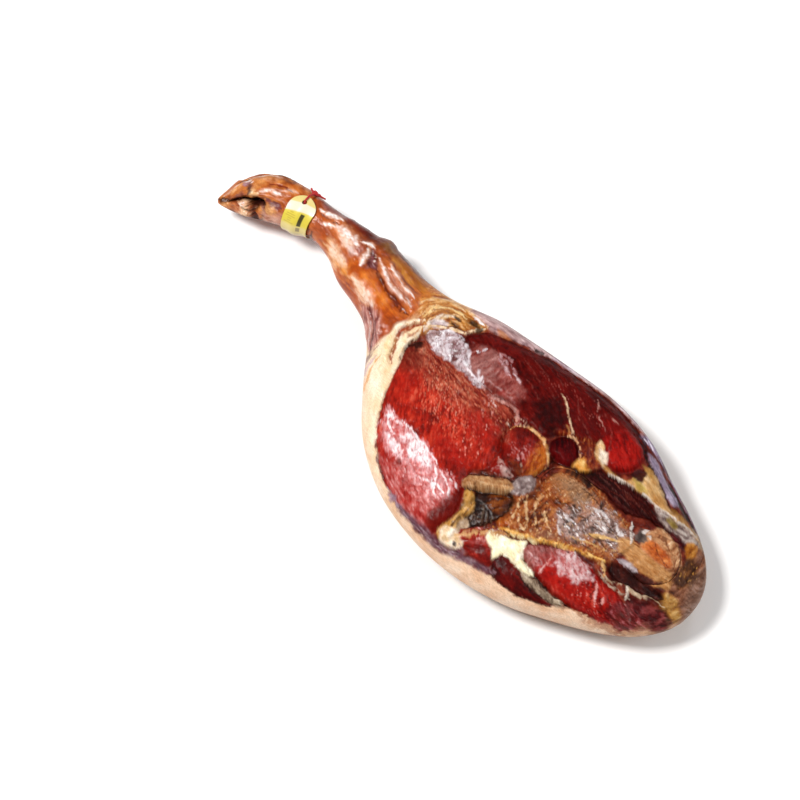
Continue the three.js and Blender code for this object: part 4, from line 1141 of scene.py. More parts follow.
def lay_shank_colours(skin, along):
    """Orange, brown and lilac skin on the shank, dark lines of painted shade in its hollows and pale painted
    highlights on its ridges.
    """
    broad = 0.5 * along + 0.5 * skin.soft
    skin.dab(1, (-124, 42, 52, 13, -10), 0.95, "9c3c08 c05c14 d87e30 e6a060", broad)
    skin.dab(1, (-98, 84, 44, 11, -8), 0.9, "8a4410 b06a1e c98a3c", along)
    skin.dab(1, (-174, 48, 34, 7, -18), 0.85, "b8641c dc9448 ecb884", along)
    skin.dab(1, (-190, 91, 38, 8, 2), 0.9, "4c1004 6c1c06 8c340e", broad)
    skin.dab(1, (-214, 62, 16, 9), 0.6, "7c3418 a8583a", along)
    folds = [(-122, 34), (-104, 34), (-90, 24), (-78, 6), (-74, -18), (-86, -4), (-100, 8), (-118, 22)]
    pleats = skin.streaks(-50, 14, 2.2, 312)
    skin.patch(folds, "481c22 7c4040 a86e66 c89890 e6c8c0", pleats, 4, 0, 0.9, 2)
    skin.height += 1.4 * skin.blob(-98, 14, 24, 22, -50) * (pleats - 0.5)
    skin.line([(-114, 32), (-100, 20), (-88, 6), (-80, -8)], 1.8, "3c1014 6c3034", -0.6, 0.8, 313)
    # Dark lines along the sunk grooves between the sinews: painted shade
    dark = "400c04 6c1f0a"
    skin.line([(-137, 64), (-125, 58), (-110, 52), (-88, 47), (-74, 46)], 3.4, dark, 0, 0.85, 314, 0.4)
    skin.line([(-124, 71), (-108, 64), (-91, 61), (-84, 58)], 1.6, "4c1408 84402c", 0, 0.85, 315)
    skin.line([(-134, 82), (-118, 76), (-100, 73), (-84, 71)], 2.0, dark, 0, 0.6, 320)
    # The sunk hollow by the ankle bone, painted dark purple: painted shade
    hollow = [(-158, 73), (-152, 78), (-143, 76), (-137, 70), (-134, 62), (-141, 58), (-147, 60), (-151, 68)]
    skin.patch(hollow, "26080a 4c1c22 7c484e a88088", 0.5 * along + 0.5 * skin.fine, 3, 0, 0.9, 2)
    skin.dab(1, (-144, 92, 14, 9), 0.8, "5c2c10 8c5a2c a07c4c", skin.mid)
    # Soft pale peach patches, then pinkish and mauve ones on the sinews and by the ankle: painted highlights
    soft = skin.blob(-133, 39, 22, 7, -16) + 0.7 * skin.blob(-184, 54, 18, 6, -18)
    soft += 0.6 * skin.blob(-178, 66, 16, 7, -12)
    skin.paint(0.85 * soft.clip(0, 1), "e0a070 f0c8a4 fae6d4", along)
    skin.dab(1, (-106, 62, 30, 8, -14), 0.55, "a04c30 cc8870 e6b8a4", along)
    skin.dab(1, (-190, 43, 28, 5, -18), 0.6, "a07070 c8a09c e6ccc8", along)
    skin.dab(1, (-166, 66, 11, 12), 0.5, "8c5450 b8908c d8c0bc", along)
    skin.dab(1, (-216, 84, 14, 5), 0.6, "6c2c28 94504c b88480", along)
    # Painted highlights along the ridges: soft pale streaks, whitest in their middles
    for k, (line, width, strength) in enumerate((
        ([(-228, 79), (-218, 79), (-208, 81), (-200, 83)], 3.4, 0.95),
        ([(-214, 68), (-208, 70), (-201, 73)], 3.6, 0.95),
        ([(-200, 75), (-188, 75), (-176, 73), (-168, 71)], 9.0, 0.85),
        ([(-188, 66), (-174, 64), (-162, 61)], 7.0, 0.35),
        ([(-194, 57), (-184, 54), (-172, 50), (-162, 47)], 8.0, 0.3),
        ([(-168, 76), (-160, 80), (-153, 80)], 3.4, 0.95),
        ([(-158, 76), (-154, 70), (-151, 62), (-150, 55)], 3.8, 0.95),
        ([(-140, 66), (-143, 72), (-147, 76)], 1.2, 0.8),
        ([(-148, 44), (-136, 42), (-122, 37), (-112, 32)], 9.0, 0.4),
        ([(-140, 75), (-122, 64), (-104, 58), (-86, 54)], 4.2, 0.72),
        ([(-126, 76), (-110, 70), (-96, 67), (-84, 65)], 3.4, 0.72),
        ([(-104, 20), (-94, 8), (-86, -6)], 2.4, 0.3),
        ([(-92, 60), (-84, 57), (-78, 54)], 4.0, 0.5),
    )):
        skin.paint_highlight(line, width, strength, 340 + k)
    skin.line([(-224, 73), (-212, 75), (-200, 77)], 1.5, "3c1814 7c5048", -0.5, 0.8, 317)
    skin.line([(-228, 57), (-222, 55), (-216, 54)], 1.6, "1c0c0a 3c2420", -0.5, 0.9, 318)


def lay_trotter(skin):
    """Two toes parted by a slit, with a nail in it, folds behind them and the broad back of the foot."""
    foot = smooth(-244, -258, skin.x)
    broad = 0.5 * skin.soft + 0.4 * skin.mid + 0.1
    skin.paint(foot * 0.95, "5c240c 94481c b8662e d08a4c e6b07c", broad, 0.36, 0.6)
    for line, reach, rise in (
        ([(-322, 66), (-308, 80), (-292, 92), (-274, 100), (-256, 102), (-244, 98)], 11, -7),
        ([(-306, 62), (-290, 72), (-270, 80), (-254, 84)], 7, 1.6),
        ([(-314, 58), (-306, 52), (-302, 46)], 3.4, -2.2),
        ([(-292, 46), (-278, 49), (-266, 52), (-254, 52)], 3.4, -2.0),
        ([(-296, 56), (-284, 64), (-270, 70), (-256, 74)], 4, 1.6),
    ):
        skin.swell(line, reach, rise)
    for x, y, long, wide, turn, codes in (
        (-284, 82, 34, 8, 24, "6c2c0c 9c5820 bc7c3a"),
        (-297, 71, 18, 7, 26, "b0683c d49870 e8bc9c"),
        (-256, 68, 10, 18, 10, "8c3410 b4581c cf7c3c"),
        (-264, 76, 11, 7, 30, "a8480f d07630 eaa468"),
        (-319, 44, 5, 16, -14, "a4521f d08a50 ecb884"),
        (-311, 38, 8, 7, 20, "54241c 804840 9c6454"),
        (-300, 28, 28, 5, 26, "843818 ac5c34 c88458"),
        (-266, 42, 22, 5.5, 22, "a0604c c49080 dcb4a4"),
        (-271, 46, 9, 4, 15, "9c6434 cf9864 e2b484"),
        (-313, 54, 6, 5, 0, "5c3844 9c7888 cdb0b8"),
        (-300, 71, 12, 5, 24, "a8642c cf8c50"),
        (-316, 22, 14, 5, 12, "8c4420 c07c50 dca47c"),
    ):
        skin.dab(1, (x, y, long, wide, turn, 0.4), 0.85, codes, skin.mid)
    # The sunk hollow behind the toes, painted near-black: painted shade
    hollow = [
        (-304, 36), (-297, 41), (-290, 45), (-281, 46), (-275, 41), (-277, 34), (-284, 31), (-290, 35),
        (-297, 33),
    ]
    skin.patch(hollow, "0e0303 2c0c0a 5c241c", skin.fine, 2, -6, 0.95, 1)
    # The first three lines, along the slit between the toes, are painted near-black as shade
    for k, (line, width, codes, rise) in enumerate((
        ([(-331, 27), (-322, 28), (-314, 29), (-307, 31), (-299, 37)], 3.8, "240a05 5c1c0c", -5),
        ([(-308, 32), (-300, 37), (-291, 39), (-282, 40)], 6.0, "100303 240a06 3c140c", -7),
        ([(-289, 42), (-284, 40), (-281, 36)], 7.0, "100303 2c0a08", -5),
        ([(-304, 25), (-296, 26), (-288, 29), (-282, 33)], 1.8, "2c0c08 6c2c1c", -1.5),
        ([(-305, 29), (-299, 31), (-293, 32), (-288, 33)], 3.4, "cc9874 ecc09c f8d8b4", 5.0),
        ([(-302, 45), (-297, 50), (-290, 50)], 5.0, "cc9860 f0c898 fae0b8", 3.4),
        ([(-290, 45), (-281, 48), (-270, 51), (-258, 52)], 3.4, "44181c 7c4448", 0),
        ([(-314, 58), (-306, 52), (-302, 46), (-303, 41)], 2.6, "3c1814 704038", 0),
        ([(-322, 50), (-314, 62), (-304, 70)], 2.0, "4c2018 7c4c3c", -0.8),
        ([(-288, 66), (-276, 72), (-262, 74)], 1.8, "6c1c0c 94381c", -1.0),
        ([(-298, 78), (-280, 86), (-262, 91)], 3.0, "4c1407 7c2c0e", 0),
        ([(-256, 60), (-252, 66), (-250, 74)], 2.0, "6c1c0a 94401c", -0.8),
    )):
        skin.line(line, width, codes, rise, 0.92, 360 + k, 0.3)
    # Painted highlights on the toes and the back of the foot
    for k, (line, width, strength) in enumerate((
        ([(-292, 55), (-286, 59), (-280, 63)], 3.2, 0.6),
        ([(-281, 60), (-275, 62), (-270, 63)], 2.4, 0.75),
        ([(-272, 68), (-266, 74), (-258, 77)], 3.2, 0.4),
        ([(-326, 30), (-323, 40), (-319, 50)], 2.4, 0.35),
        ([(-316, 55), (-312, 58), (-308, 57)], 1.8, 0.7),
        ([(-308, 68), (-296, 74), (-284, 79)], 2.2, 0.3),
        ([(-300, 29), (-294, 31)], 1.6, 0.7),
    )):
        skin.paint_highlight(line, width, strength, 380 + k)


# Meshes


def stations_at(rows, u):
    """The columns of a table of stations at places u, by a spline whose mirrored end rows make round caps."""
    rows = np.array(rows, float)
    mirror = np.array([1, 1, 1, -1, 1, -1, -1])
    padded = np.vstack([rows[1] * mirror, rows, rows[-2] * mirror])
    i = np.minimum(np.floor(u).astype(int), len(rows) - 2)
    f = (u - i)[:, None]
    return curve_between(*(padded[i + k] for k in range(4)), f).T


def ring_places(rows, step_at):
    """Where rings stand along a table of stations, spaced along the surface by step_at(x)."""
    u = np.linspace(0, len(rows) - 1, 6000)
    x, y, _, half, *_ = stations_at(rows, u)
    moved = np.sqrt(np.diff(x) ** 2 + np.diff(y) ** 2 + np.diff(half) ** 2)
    count = np.concatenate([[0], np.cumsum(moved / step_at((x[1:] + x[:-1]) / 2))])
    return np.interp(np.linspace(0, count[-1], int(count[-1])), count, u)


def even_across(spans, power, slenderness):
    """Places across a half section from 1 to -1, evenly spaced along its rim."""
    angle = np.linspace(0, math.pi, 4000)
    across = np.sign(np.cos(angle)) * np.abs(np.cos(angle)) ** (2 / power)
    up = slenderness * np.abs(np.sin(angle)) ** (2 / power)
    gone = np.concatenate([[0], np.cumsum(np.hypot(np.diff(across), np.diff(up)))])
    return np.interp(np.arange(spans) / spans * gone[-1], gone, across)


def loft(rows, places, top_spans, belly_spans):
    """Rings of points and their outward directions, as arrays of ring by place by three."""
    halves = [even_across(top_spans, 2.5, 0.33), -even_across(belly_spans, 2.3, 0.33)]
    across = np.concatenate(halves)[None, :]
    upper = np.concatenate([np.ones(top_spans, bool), np.zeros(belly_spans, bool)])[None, :]
    x, y, turn, half, level, rise, drop = (column[:, None] for column in stations_at(rows, places))
    turn = np.radians(turn)
    flat = smooth(45, 110, half)
    power = np.where(upper, 2 + 0.6 * flat, 2 + 0.3 * flat)
    height = np.where(upper, 1, -1) * (1 - np.minimum(1, np.abs(across)) ** power) ** (1 / power)
    lateral = half * across
    vertical = np.where(upper, rise, drop) * height
    points = np.stack([x - np.sin(turn) * lateral, y + np.cos(turn) * lateral, level + vertical], axis=-1)
    outward = np.stack([-np.sin(turn) * across + 0 * x, np.cos(turn) * across + 0 * x, height], axis=-1)
    outward /= np.linalg.norm(outward, axis=-1, keepdims=True) + 1e-9
    return points, outward, half + 0 * across


def ring_faces(rings, spans):
    """Quads between rings, and fans to single points at the two ends."""
    ring = np.arange(rings)[:, None] * spans
    place = np.arange(spans)[None, :]
    here, beside = ring + place, ring + (place + 1) % spans
    quads = np.stack([here[:-1], beside[:-1], beside[1:], here[1:]], axis=-1).reshape(-1, 4) + 1
    first, last = 0, rings * spans + 1
    fans = [(first, int(b) + 1, int(a) + 1) for a, b in zip(here[0], beside[0])]
    fans += [(last, int(a) + 1, int(b) + 1) for a, b in zip(here[-1], beside[-1])]
    return [tuple(q) for q in quads.tolist()] + fans


def shown(name, vertices, faces):
    """A smooth-shaded object in the scene from points in millimetres."""
    mesh = bpy.data.meshes.new(name)
    mesh.from_pydata((np.asarray(vertices) * MM).tolist(), [], faces)
    mesh.shade_smooth()
    piece = bpy.data.objects.new(name, mesh)
    bpy.context.scene.collection.objects.link(piece)
    return piece


def closed_piece(name, rings, tint, rough, look):
    """A piece from rings of points, kept inside the frame's box and closed by a point at each end."""
    count, spans = rings.shape[:2]
    points = np.clip(rings.reshape(-1, 3), *(np.array(CAD_BOX) / MM))
    points, tint, look = (np.vstack([v[:spans].mean(0), v, v[-spans:].mean(0)]) for v in (points, tint, look))
    piece = shown(name, points, ring_faces(count, spans))
    store(piece, tint, np.r_[rough[0], rough, rough[-1]], look)
    return piece


def store(piece, tint, rough, look):
    """Keeps colour, roughness, and gloss with the lean of the fibres, on the mesh's points."""
    rgba = np.concatenate([np.clip(tint, 0, 1), np.ones((len(tint), 1))], axis=1)
    for name, kind, key, values in (
        ("tint", "FLOAT_COLOR", "color", rgba),
        ("rough", "FLOAT", "value", rough),
        ("look", "FLOAT_VECTOR", "vector", look),
    ):
        attribute = piece.data.attributes.new(name, kind, "POINT")
        attribute.data.foreach_set(key, values.astype(np.float32).ravel())


def graded(tint):
    """Deepens the painted colours, since the lights and the gloss lift them."""
    return np.clip(0.84 * tint, 0, 1) ** 1.08


def seen_from_sight(layer_function, x, y, level, weight, side):
    """Runs a layer function so that its drawing fits the risen surface as the photograph shows it."""
    height = weight * layer_function(x, y, level, side).height
    layers = layer_function(x - SIGHT_X * height, y - SIGHT_Y * height, level, side)
    return layers, weight * layers.height


def make_ham():
    """Meat, fat, rind, shank and trotter in one loft. Face and shank are blended at the rind's edge."""
    fine_from = RIND_EDGE_X - 14
    places = ring_places(STATIONS, lambda x: np.where(x < fine_from, SHANK_RING_STEP, FACE_RING_STEP))[1:-1]
    points, outward, half = loft(STATIONS, places, *HAM_SPANS)
    flat_points, flat_outward = points.reshape(-1, 3), outward.reshape(-1, 3)
    x, y, level = flat_points.T
    side = flat_outward[:, 2]
    half = half.reshape(-1)
    on_top = smooth(0.05, 0.5, side) * smooth(0, 30, half)
    # Face and shank overlap here, and share says how much of a place is the face's
    near_face = x > RIND_EDGE_X - 44
    near_shank = x < RIND_EDGE_X + 22
    # The edge between them bends with the folds of fat, and wanders most where the side is steep
    uneven = 34 * (cloud(x + level, y + 2 * level, 24, 9) - 0.5) * smooth(0.6, 0.0, side)
    bend = 0.3 * np.maximum(0, y - 56) + 0.12 * np.maximum(0, 20 - y)
    bend -= 6 * smooth(28, 42, y) * smooth(74, 56, y)
    edge = x + 4 * (cloud(x, y, 12, 8) - 0.5) + uneven + bend
    share = np.where(near_shank, smooth(RIND_EDGE_X - 11, RIND_EDGE_X - 5, edge), 1.0)
    tint, look = np.zeros((len(x), 3)), np.zeros((len(x), 3))
    rough, height = np.zeros_like(x), np.zeros_like(x)
    shank_weight = smooth(-0.3, 0.3, side) * smooth(4, 18, half)
    face = seen_from_sight(face_layers, *(v[near_face] for v in (x, y, level, on_top, side)))
    skin = seen_from_sight(shank_layers, *(v[near_shank] for v in (x, y, level, shank_weight, side)))
    for (layers, risen), near, amount in ((face, near_face, share), (skin, near_shank, 1 - share)):
        part = amount[near]
        tint[near] += layers.tint * part[:, None]
        rough[near] += layers.rough * part
        height[near] += risen * part
        look[near] += layers.look() * part[:, None]
    # The skin stays plain under the card
    height *= 1 - smooth(24, 17, np.abs(x - TAG_X))
    flat_points = risen_skin(flat_points, flat_outward, height, share)
    flat_points = seat_bone(flat_points, side)
    tint, rough, look = lay_rind(flat_points, side, share, tint, rough, look)
    return closed_piece("cured_ham", flat_points.reshape(points.shape), graded(tint), rough, look)


def risen_skin(points, outward, height, face_share):
    """Moves the skin by its height: up on the face, outward on the shank, and never below the floor."""
    moved = points + outward * (height * (1 - face_share))[:, None]
    moved[:, 2] += height * face_share
    moved[:, 2] = np.maximum(moved[:, 2], 0)
    return moved


def seat_bone(points, side):
    """Presses the flesh under the hip bone, and closes it up to the bone's edge all round."""
    margin, lip_rise, gap_below = 12, 0.7, 0.8
    foot_width, foot_depth, gap_beside = 1.3, 6, 0.4
    u = np.linspace(0, len(BONE_STATIONS) - 1, 160)
    along, centre, _, half, level, _, drop = stations_at(BONE_STATIONS, u)
    far, near_side = np.stack([along, centre + half], 1), np.stack([along, centre - half], 1)
    outline = np.vstack([far, near_side[-2:0:-1]])
    levels = np.concatenate([level, level[-2:0:-1]])
    low, high = outline.min(0) - margin, outline.max(0) + margin
    near = (side > 0) & (points[:, :2] > low).all(1) & (points[:, :2] < high).all(1)
    p = points[near, :2]
    step = np.roll(outline, -1, axis=0) - outline
    t = ((p[:, None] - outline) * step).sum(-1) / ((step**2).sum(-1) + 1e-9)
    nearest = outline + np.clip(t, 0, 1)[..., None] * step
    distance = np.linalg.norm(p[:, None] - nearest, axis=-1)
    best = distance.argmin(1)
    rows = np.arange(len(p))
    nearest, distance, level_here = nearest[rows, best], distance[rows, best], levels[best]
    off = np.abs(p[:, 1] - np.interp(p[:, 0], along, centre)) / (np.interp(p[:, 0], along, half) + 1e-6)
    inside = (off < 1) & (p[:, 0] > along[0]) & (p[:, 0] < along[-1])
    d = np.where(inside, -distance, distance)
    away = (p - nearest) / (d + np.where(np.abs(d) < 1e-6, 1e-6, 0))[:, None]
    z = points[near, 2]
    lip = level_here + lip_rise
    pull = smooth(10, 1, d)
    z = z + (lip - z) * pull * np.where(z > lip, 1, 0.35)
    roundness = np.sqrt(np.clip(1 - off**2, 0, 1))
    under = np.interp(p[:, 0], along, level) - np.interp(p[:, 0], along, drop) * roundness
    z = np.where(d < -foot_width, np.minimum(z, np.minimum(under - gap_below, level_here - 5)), z)
    foot = (d >= -foot_width) & (d < -0.1)
    z = np.where(foot, level_here - foot_depth, z)
    spread = np.where(foot, gap_beside, np.maximum(d, 0.5))
    shifted = np.where((d >= -foot_width)[:, None], nearest + away * spread[:, None], p)
    points = points.copy()
    points[near] = np.column_stack([shifted, z])
    return points


def lay_rind(points, side, face_share, tint, rough, look):
    """The rind's own colours, below the widest line."""
    x, y, level = points.T
    x, y = x + 0.7 * level, y + 1.3 * level
    leather = 0.5 * cloud(x, y, 30, 401) + 0.3 * cloud(x, y, 6, 402) + 0.2 * cloud(x, y, 2, 403)
    shin = smooth(-60, -110, x)[:, None]
    colour = ramp(RIND, leather) * (1 - shin) + ramp(SKIN, leather) * shin
    uneven = side + 0.16 * (cloud(x, y, 14, 404) - 0.5)
    below = smooth(-0.34, -0.6, uneven)[:, None]
    edge = (smooth(0.13, 0.0, np.abs(uneven + 0.36)) * face_share * 0.8)[:, None]
    tint = tint + (colour - tint) * below
    tint = tint + (ramp("9c5c2c c08450", leather) - tint) * edge
    rough = rough + (0.5 - rough) * below[:, 0]
    return tint, rough, look * (1 - 0.6 * below)


def make_bone():
    """The bare hip bone: its own loft, painted with the layers of the face above it."""
    places = ring_places(BONE_STATIONS, lambda x: BONE_RING_STEP + 0 * x)[1:-1]
    points, outward, half = loft(BONE_STATIONS, places, *BONE_SPANS)
    flat_points, flat_outward = points.reshape(-1, 3), outward.reshape(-1, 3)
    x, y, z = flat_points.T
    side = flat_outward[:, 2]
    # The drawing is seen on the bone's top where the photograph shows it, as on the face round it
    raised = z - (LEG_THICKNESS - RIND_EDGE_STEP)
    layers = face_layers(x - SIGHT_X * raised, y - SIGHT_Y * raised, z, side)
    # Low relief of the layers with lumps of its own, and a swelling along the widest line that fills the bed
    lumps = np.clip(layers.height + RIND_EDGE_STEP - 2, -2.4, 1.6) + 2.4 * (cloud(x, y, 13, 411) - 0.5) - 1.0
    swell = np.minimum(lumps, 0.6) * smooth(2, 12, half.reshape(-1)) * smooth(0.1, 0.6, side)
    swell = swell + 0.9 * smooth(0.4, 0.1, np.abs(side))
    flat_points = flat_points + flat_outward * swell[:, None]
    # The bone's underside, sunk in its bed, is painted darker: painted shade
    dark = 0.6 * smooth(0.0, -0.3, side)[:, None]
    tint = graded(layers.tint) * (1 - dark) + linear("3a1c10") * dark
    return closed_piece("bare_hip_bone", flat_points.reshape(points.shape), tint, layers.rough, layers.look())


# The card and its string, placed by the angle round the ankle and the distance off its skin

TAG_ALONG = 4.45
STATIONS_PER_MM = 1 / 31
TAG_WIDTH = 30
TAG_LENGTH = 62
TAG_THICK = 0.8
TAG_START = 78
TAG_HOLE_AT = 7
TAG_HOLE_RADIUS = 2.4
STRING_RADIUS = 1.1
FIT_GAP = 0.4
ANKLE_GIRTH_RADIUS = 23.5


def round_ankle(along, angle, off):
    """Points at an angle round the ankle, in degrees from the far side over the top, off the skin."""
    along, angle, off = np.broadcast_arrays(np.asarray(along, float), angle, off)
    x, y, turn, half, level, rise, drop = stations_at(STATIONS, TAG_ALONG + along.ravel() * STATIONS_PER_MM)
    a, turn = np.radians(angle.ravel()), np.radians(turn)
    across = np.cos(a) * (half + off.ravel())
    up = np.sin(a) * (np.where(np.sin(a) > 0, rise, drop) + off.ravel())
    points = np.stack([x - np.sin(turn) * across, y + np.cos(turn) * across, level + up], axis=-1)
    return points.reshape(*along.shape, 3)


def tag_angle(down):
    """The angle round the ankle of a place so far down the card."""
    return TAG_START + np.degrees(down / ANKLE_GIRTH_RADIUS)


def tag_off(along):
    """The card stands off the skin where the string runs under it."""
    return 1.6 + (2 * STRING_RADIUS + 0.4) * np.exp(-((along / 7) ** 2))


def make_tag():
    """The card: a round-ended strip with a hole, bent round the ankle, its two faces joined at the edges."""
    radius = TAG_WIDTH / 2
    down = TAG_LENGTH * np.linspace(0, 1, CARD_ROWS + 1) ** 1.15
    half = np.where(down < radius, np.sqrt(np.clip(radius**2 - (radius - down) ** 2, 0.3, None)), radius)
    along = np.linspace(-1, 1, CARD_SPANS + 1)[None, :] * half[:, None]
    below = down[:, None] + 0 * along - TAG_HOLE_AT
    # The hole: points inside it move out to its edge, and the faces in its middle are left out
    from_hole = np.hypot(along, below)
    in_hole = from_hole < TAG_HOLE_RADIUS - 0.9
    push = np.maximum(1, TAG_HOLE_RADIUS / np.maximum(from_hole, 0.05))
    along, down = along * push, TAG_HOLE_AT + below * push
    index = np.arange(along.size).reshape(along.shape)
    corners = np.stack([index[:-1, :-1], index[:-1, 1:], index[1:, 1:], index[1:, :-1]], axis=-1)
    flags = np.stack([in_hole[:-1, :-1], in_hole[:-1, 1:], in_hole[1:, 1:], in_hole[1:, :-1]], axis=-1)
    quads = [tuple(q) for q in corners[~flags.any(-1)].tolist()]
    edges = {(a, b) for q in quads for a, b in zip(q, q[1:] + q[:1])}
    rim = [(a, b) for a, b in edges if (b, a) not in edges]
    shift = along.size
    faces = [q[::-1] for q in quads] + [tuple(c + shift for c in q) for q in quads]
    faces += [(a, b, b + shift, a + shift) for a, b in rim]
    outer = round_ankle(along, tag_angle(down), tag_off(along) + TAG_THICK).reshape(-1, 3)
    inner = round_ankle(along, tag_angle(down), tag_off(along)).reshape(-1, 3)
    used = np.unique([c for face in faces for c in face])
    renumbered = {int(old): new for new, old in enumerate(used)}
    faces = [tuple(renumbered[c] for c in face) for face in faces]
    piece = shown("card_tag", np.vstack([outer, inner])[used], faces)
    tint = tag_print(np.tile(along.ravel(), 2)[used], np.tile(down.ravel(), 2)[used])
    store(piece, tint, np.full(len(used), 0.38), np.zeros((len(used), 3)) + (0.5, 0, 0.1))
    return piece


def tag_print(along, down):
    """Fields of colour on the card: yellow with a white band, a paler foot, a dark bar and faint rows."""
    tint = np.zeros((len(along), 3)) + linear("ecd888")
    fields = [
        (smooth(2.4, 1.2, np.abs(down + 0.16 * along - 13) - 3.0), "f3ecd4", 0.95),
        (smooth(16.5, 18.5, down + 0.16 * along), "e3cf48", 1.0),
        (smooth(31, 35, down), "e8d488", 1.0),
        (smooth(40, 48, down), "dcc896", 1.0),
        (smooth(2.2, 1.7, np.abs(along - 6)) * smooth(7.4, 6.8, np.abs(down - 25.5)), "2c2812", 0.95),
        (smooth(2.2, 1.7, np.abs(along - 6)) * smooth(3.2, 2.6, np.abs(down - 37.5)), "8c7c58", 0.85),
    ]
    for row in (20.0, 22.2, 24.4, 26.6, 28.8, 31.0):
        length = 4.5 + 2.5 * math.sin(2.1 * row)
        faint = smooth(0.6, 0.3, np.abs(down - row)) * smooth(length, length - 0.5, np.abs(along + 6))
        fields.append((faint, "a8843c", 0.5))
    for mask, code, strength in fields:
        tint += (linear(code) - tint) * (strength * mask)[:, None]
    return 0.74 * tint


def make_string():
    """Three red strands twisted together along the string's path, with a knot and two tails."""
    hole = float(tag_angle(TAG_HOLE_AT))
    under = STRING_RADIUS + FIT_GAP
    over = float(tag_off(0)) + TAG_THICK + under
    knot_angle = 52
    # Back from the knot on the skin to under the hole, up through it, and over the card's end to the knot
    start, behind = knot_angle - 8, knot_angle - 8 + 360 - hole - 4
    path = [(start - behind * k / 20, under) for k in range(21)]
    path += [(hole + 1, under + 1.2), (hole, over - 0.9), (hole - 5, over), (hole - 14, over)]
    path += [(TAG_START - 4, over - 0.4), (knot_angle + 6, 3.4)]
    loop = np.array([round_ankle(0, angle, off) for angle, off in path]).reshape(-1, 3)
    knot = round_ankle(0, knot_angle, 3.2).reshape(3)
    chains = [(spline(loop, True, 12), True)]
    # Two tails, one to each side of the knot
    for way in (-1, 1):
        tail = [knot]
        for along, angle, off in ((3, -2, 3.4), (6, -9, 2.6), (8, -18, 2.2)):
            tail.append(round_ankle(way * along, knot_angle + angle, off).reshape(3))
        chains.append((spline(tail, False, 10), False))
    # The knot: three small rings, turned against each other
    for turn in range(3):
        a = np.linspace(0, 2 * math.pi, 25)[:-1]
        lean = math.radians(60 * turn)
        up = 2 * np.sin(a)
        ring = np.stack([2.6 * np.cos(a), up * math.cos(lean), up * math.sin(lean)], axis=-1)
        chains.append((knot + ring + np.array([0.8 * (turn - 1), 0, 0.3]), True))
    vertices, faces = [], []
    for chain, closed in chains:
        for strand in range(3):
            add_strand(vertices, faces, chain, closed, 2 * math.pi * strand / 3)
    return shown("red_string", vertices, faces)


def add_strand(vertices, faces, chain, closed, phase):
    """One strand of the string: a thin tube that winds round a chain of places."""
    sides, strand_radius, off_axis, twist_length = 6, 0.62, 0.56, 5.5
    steps = np.roll(chain, -1, axis=0) - chain if closed else np.diff(chain, axis=0)
    lengths = np.linalg.norm(steps, axis=1)
    gone = np.concatenate([[0], np.cumsum(lengths)])[: len(chain)]
    turns = lengths.sum() / twist_length
    turns = round(turns) if closed else turns
    tangent = np.roll(chain, -1, axis=0) - np.roll(chain, 1, axis=0) if closed else np.gradient(chain, axis=0)
    tangent /= np.linalg.norm(tangent, axis=1, keepdims=True)
    first = np.cross(tangent, np.array([0.93, 0.2, 0.31]))
    first /= np.linalg.norm(first, axis=1, keepdims=True) + 1e-9
    second = np.cross(tangent, first)
    wind = phase + 2 * math.pi * turns * gone / lengths.sum()
    middle = chain + off_axis * (first * np.cos(wind)[:, None] + second * np.sin(wind)[:, None])
    base = len(vertices)
    for k, centre in enumerate(middle):
        for s in range(sides):
            a = 2 * math.pi * s / sides
            vertices.append(centre + strand_radius * (first[k] * math.cos(a) + second[k] * math.sin(a)))
    for k in range(len(steps)):
        for s in range(sides):
            here, ahead = base + k * sides, base + ((k + 1) % len(chain)) * sides
            faces.append((here + s, here + (s + 1) % sides, ahead + (s + 1) % sides, ahead + s))
    if not closed:
        faces.append(tuple(base + s for s in reversed(range(sides))))
        faces.append(tuple(base + (len(chain) - 1) * sides + s for s in range(sides)))


# Materials


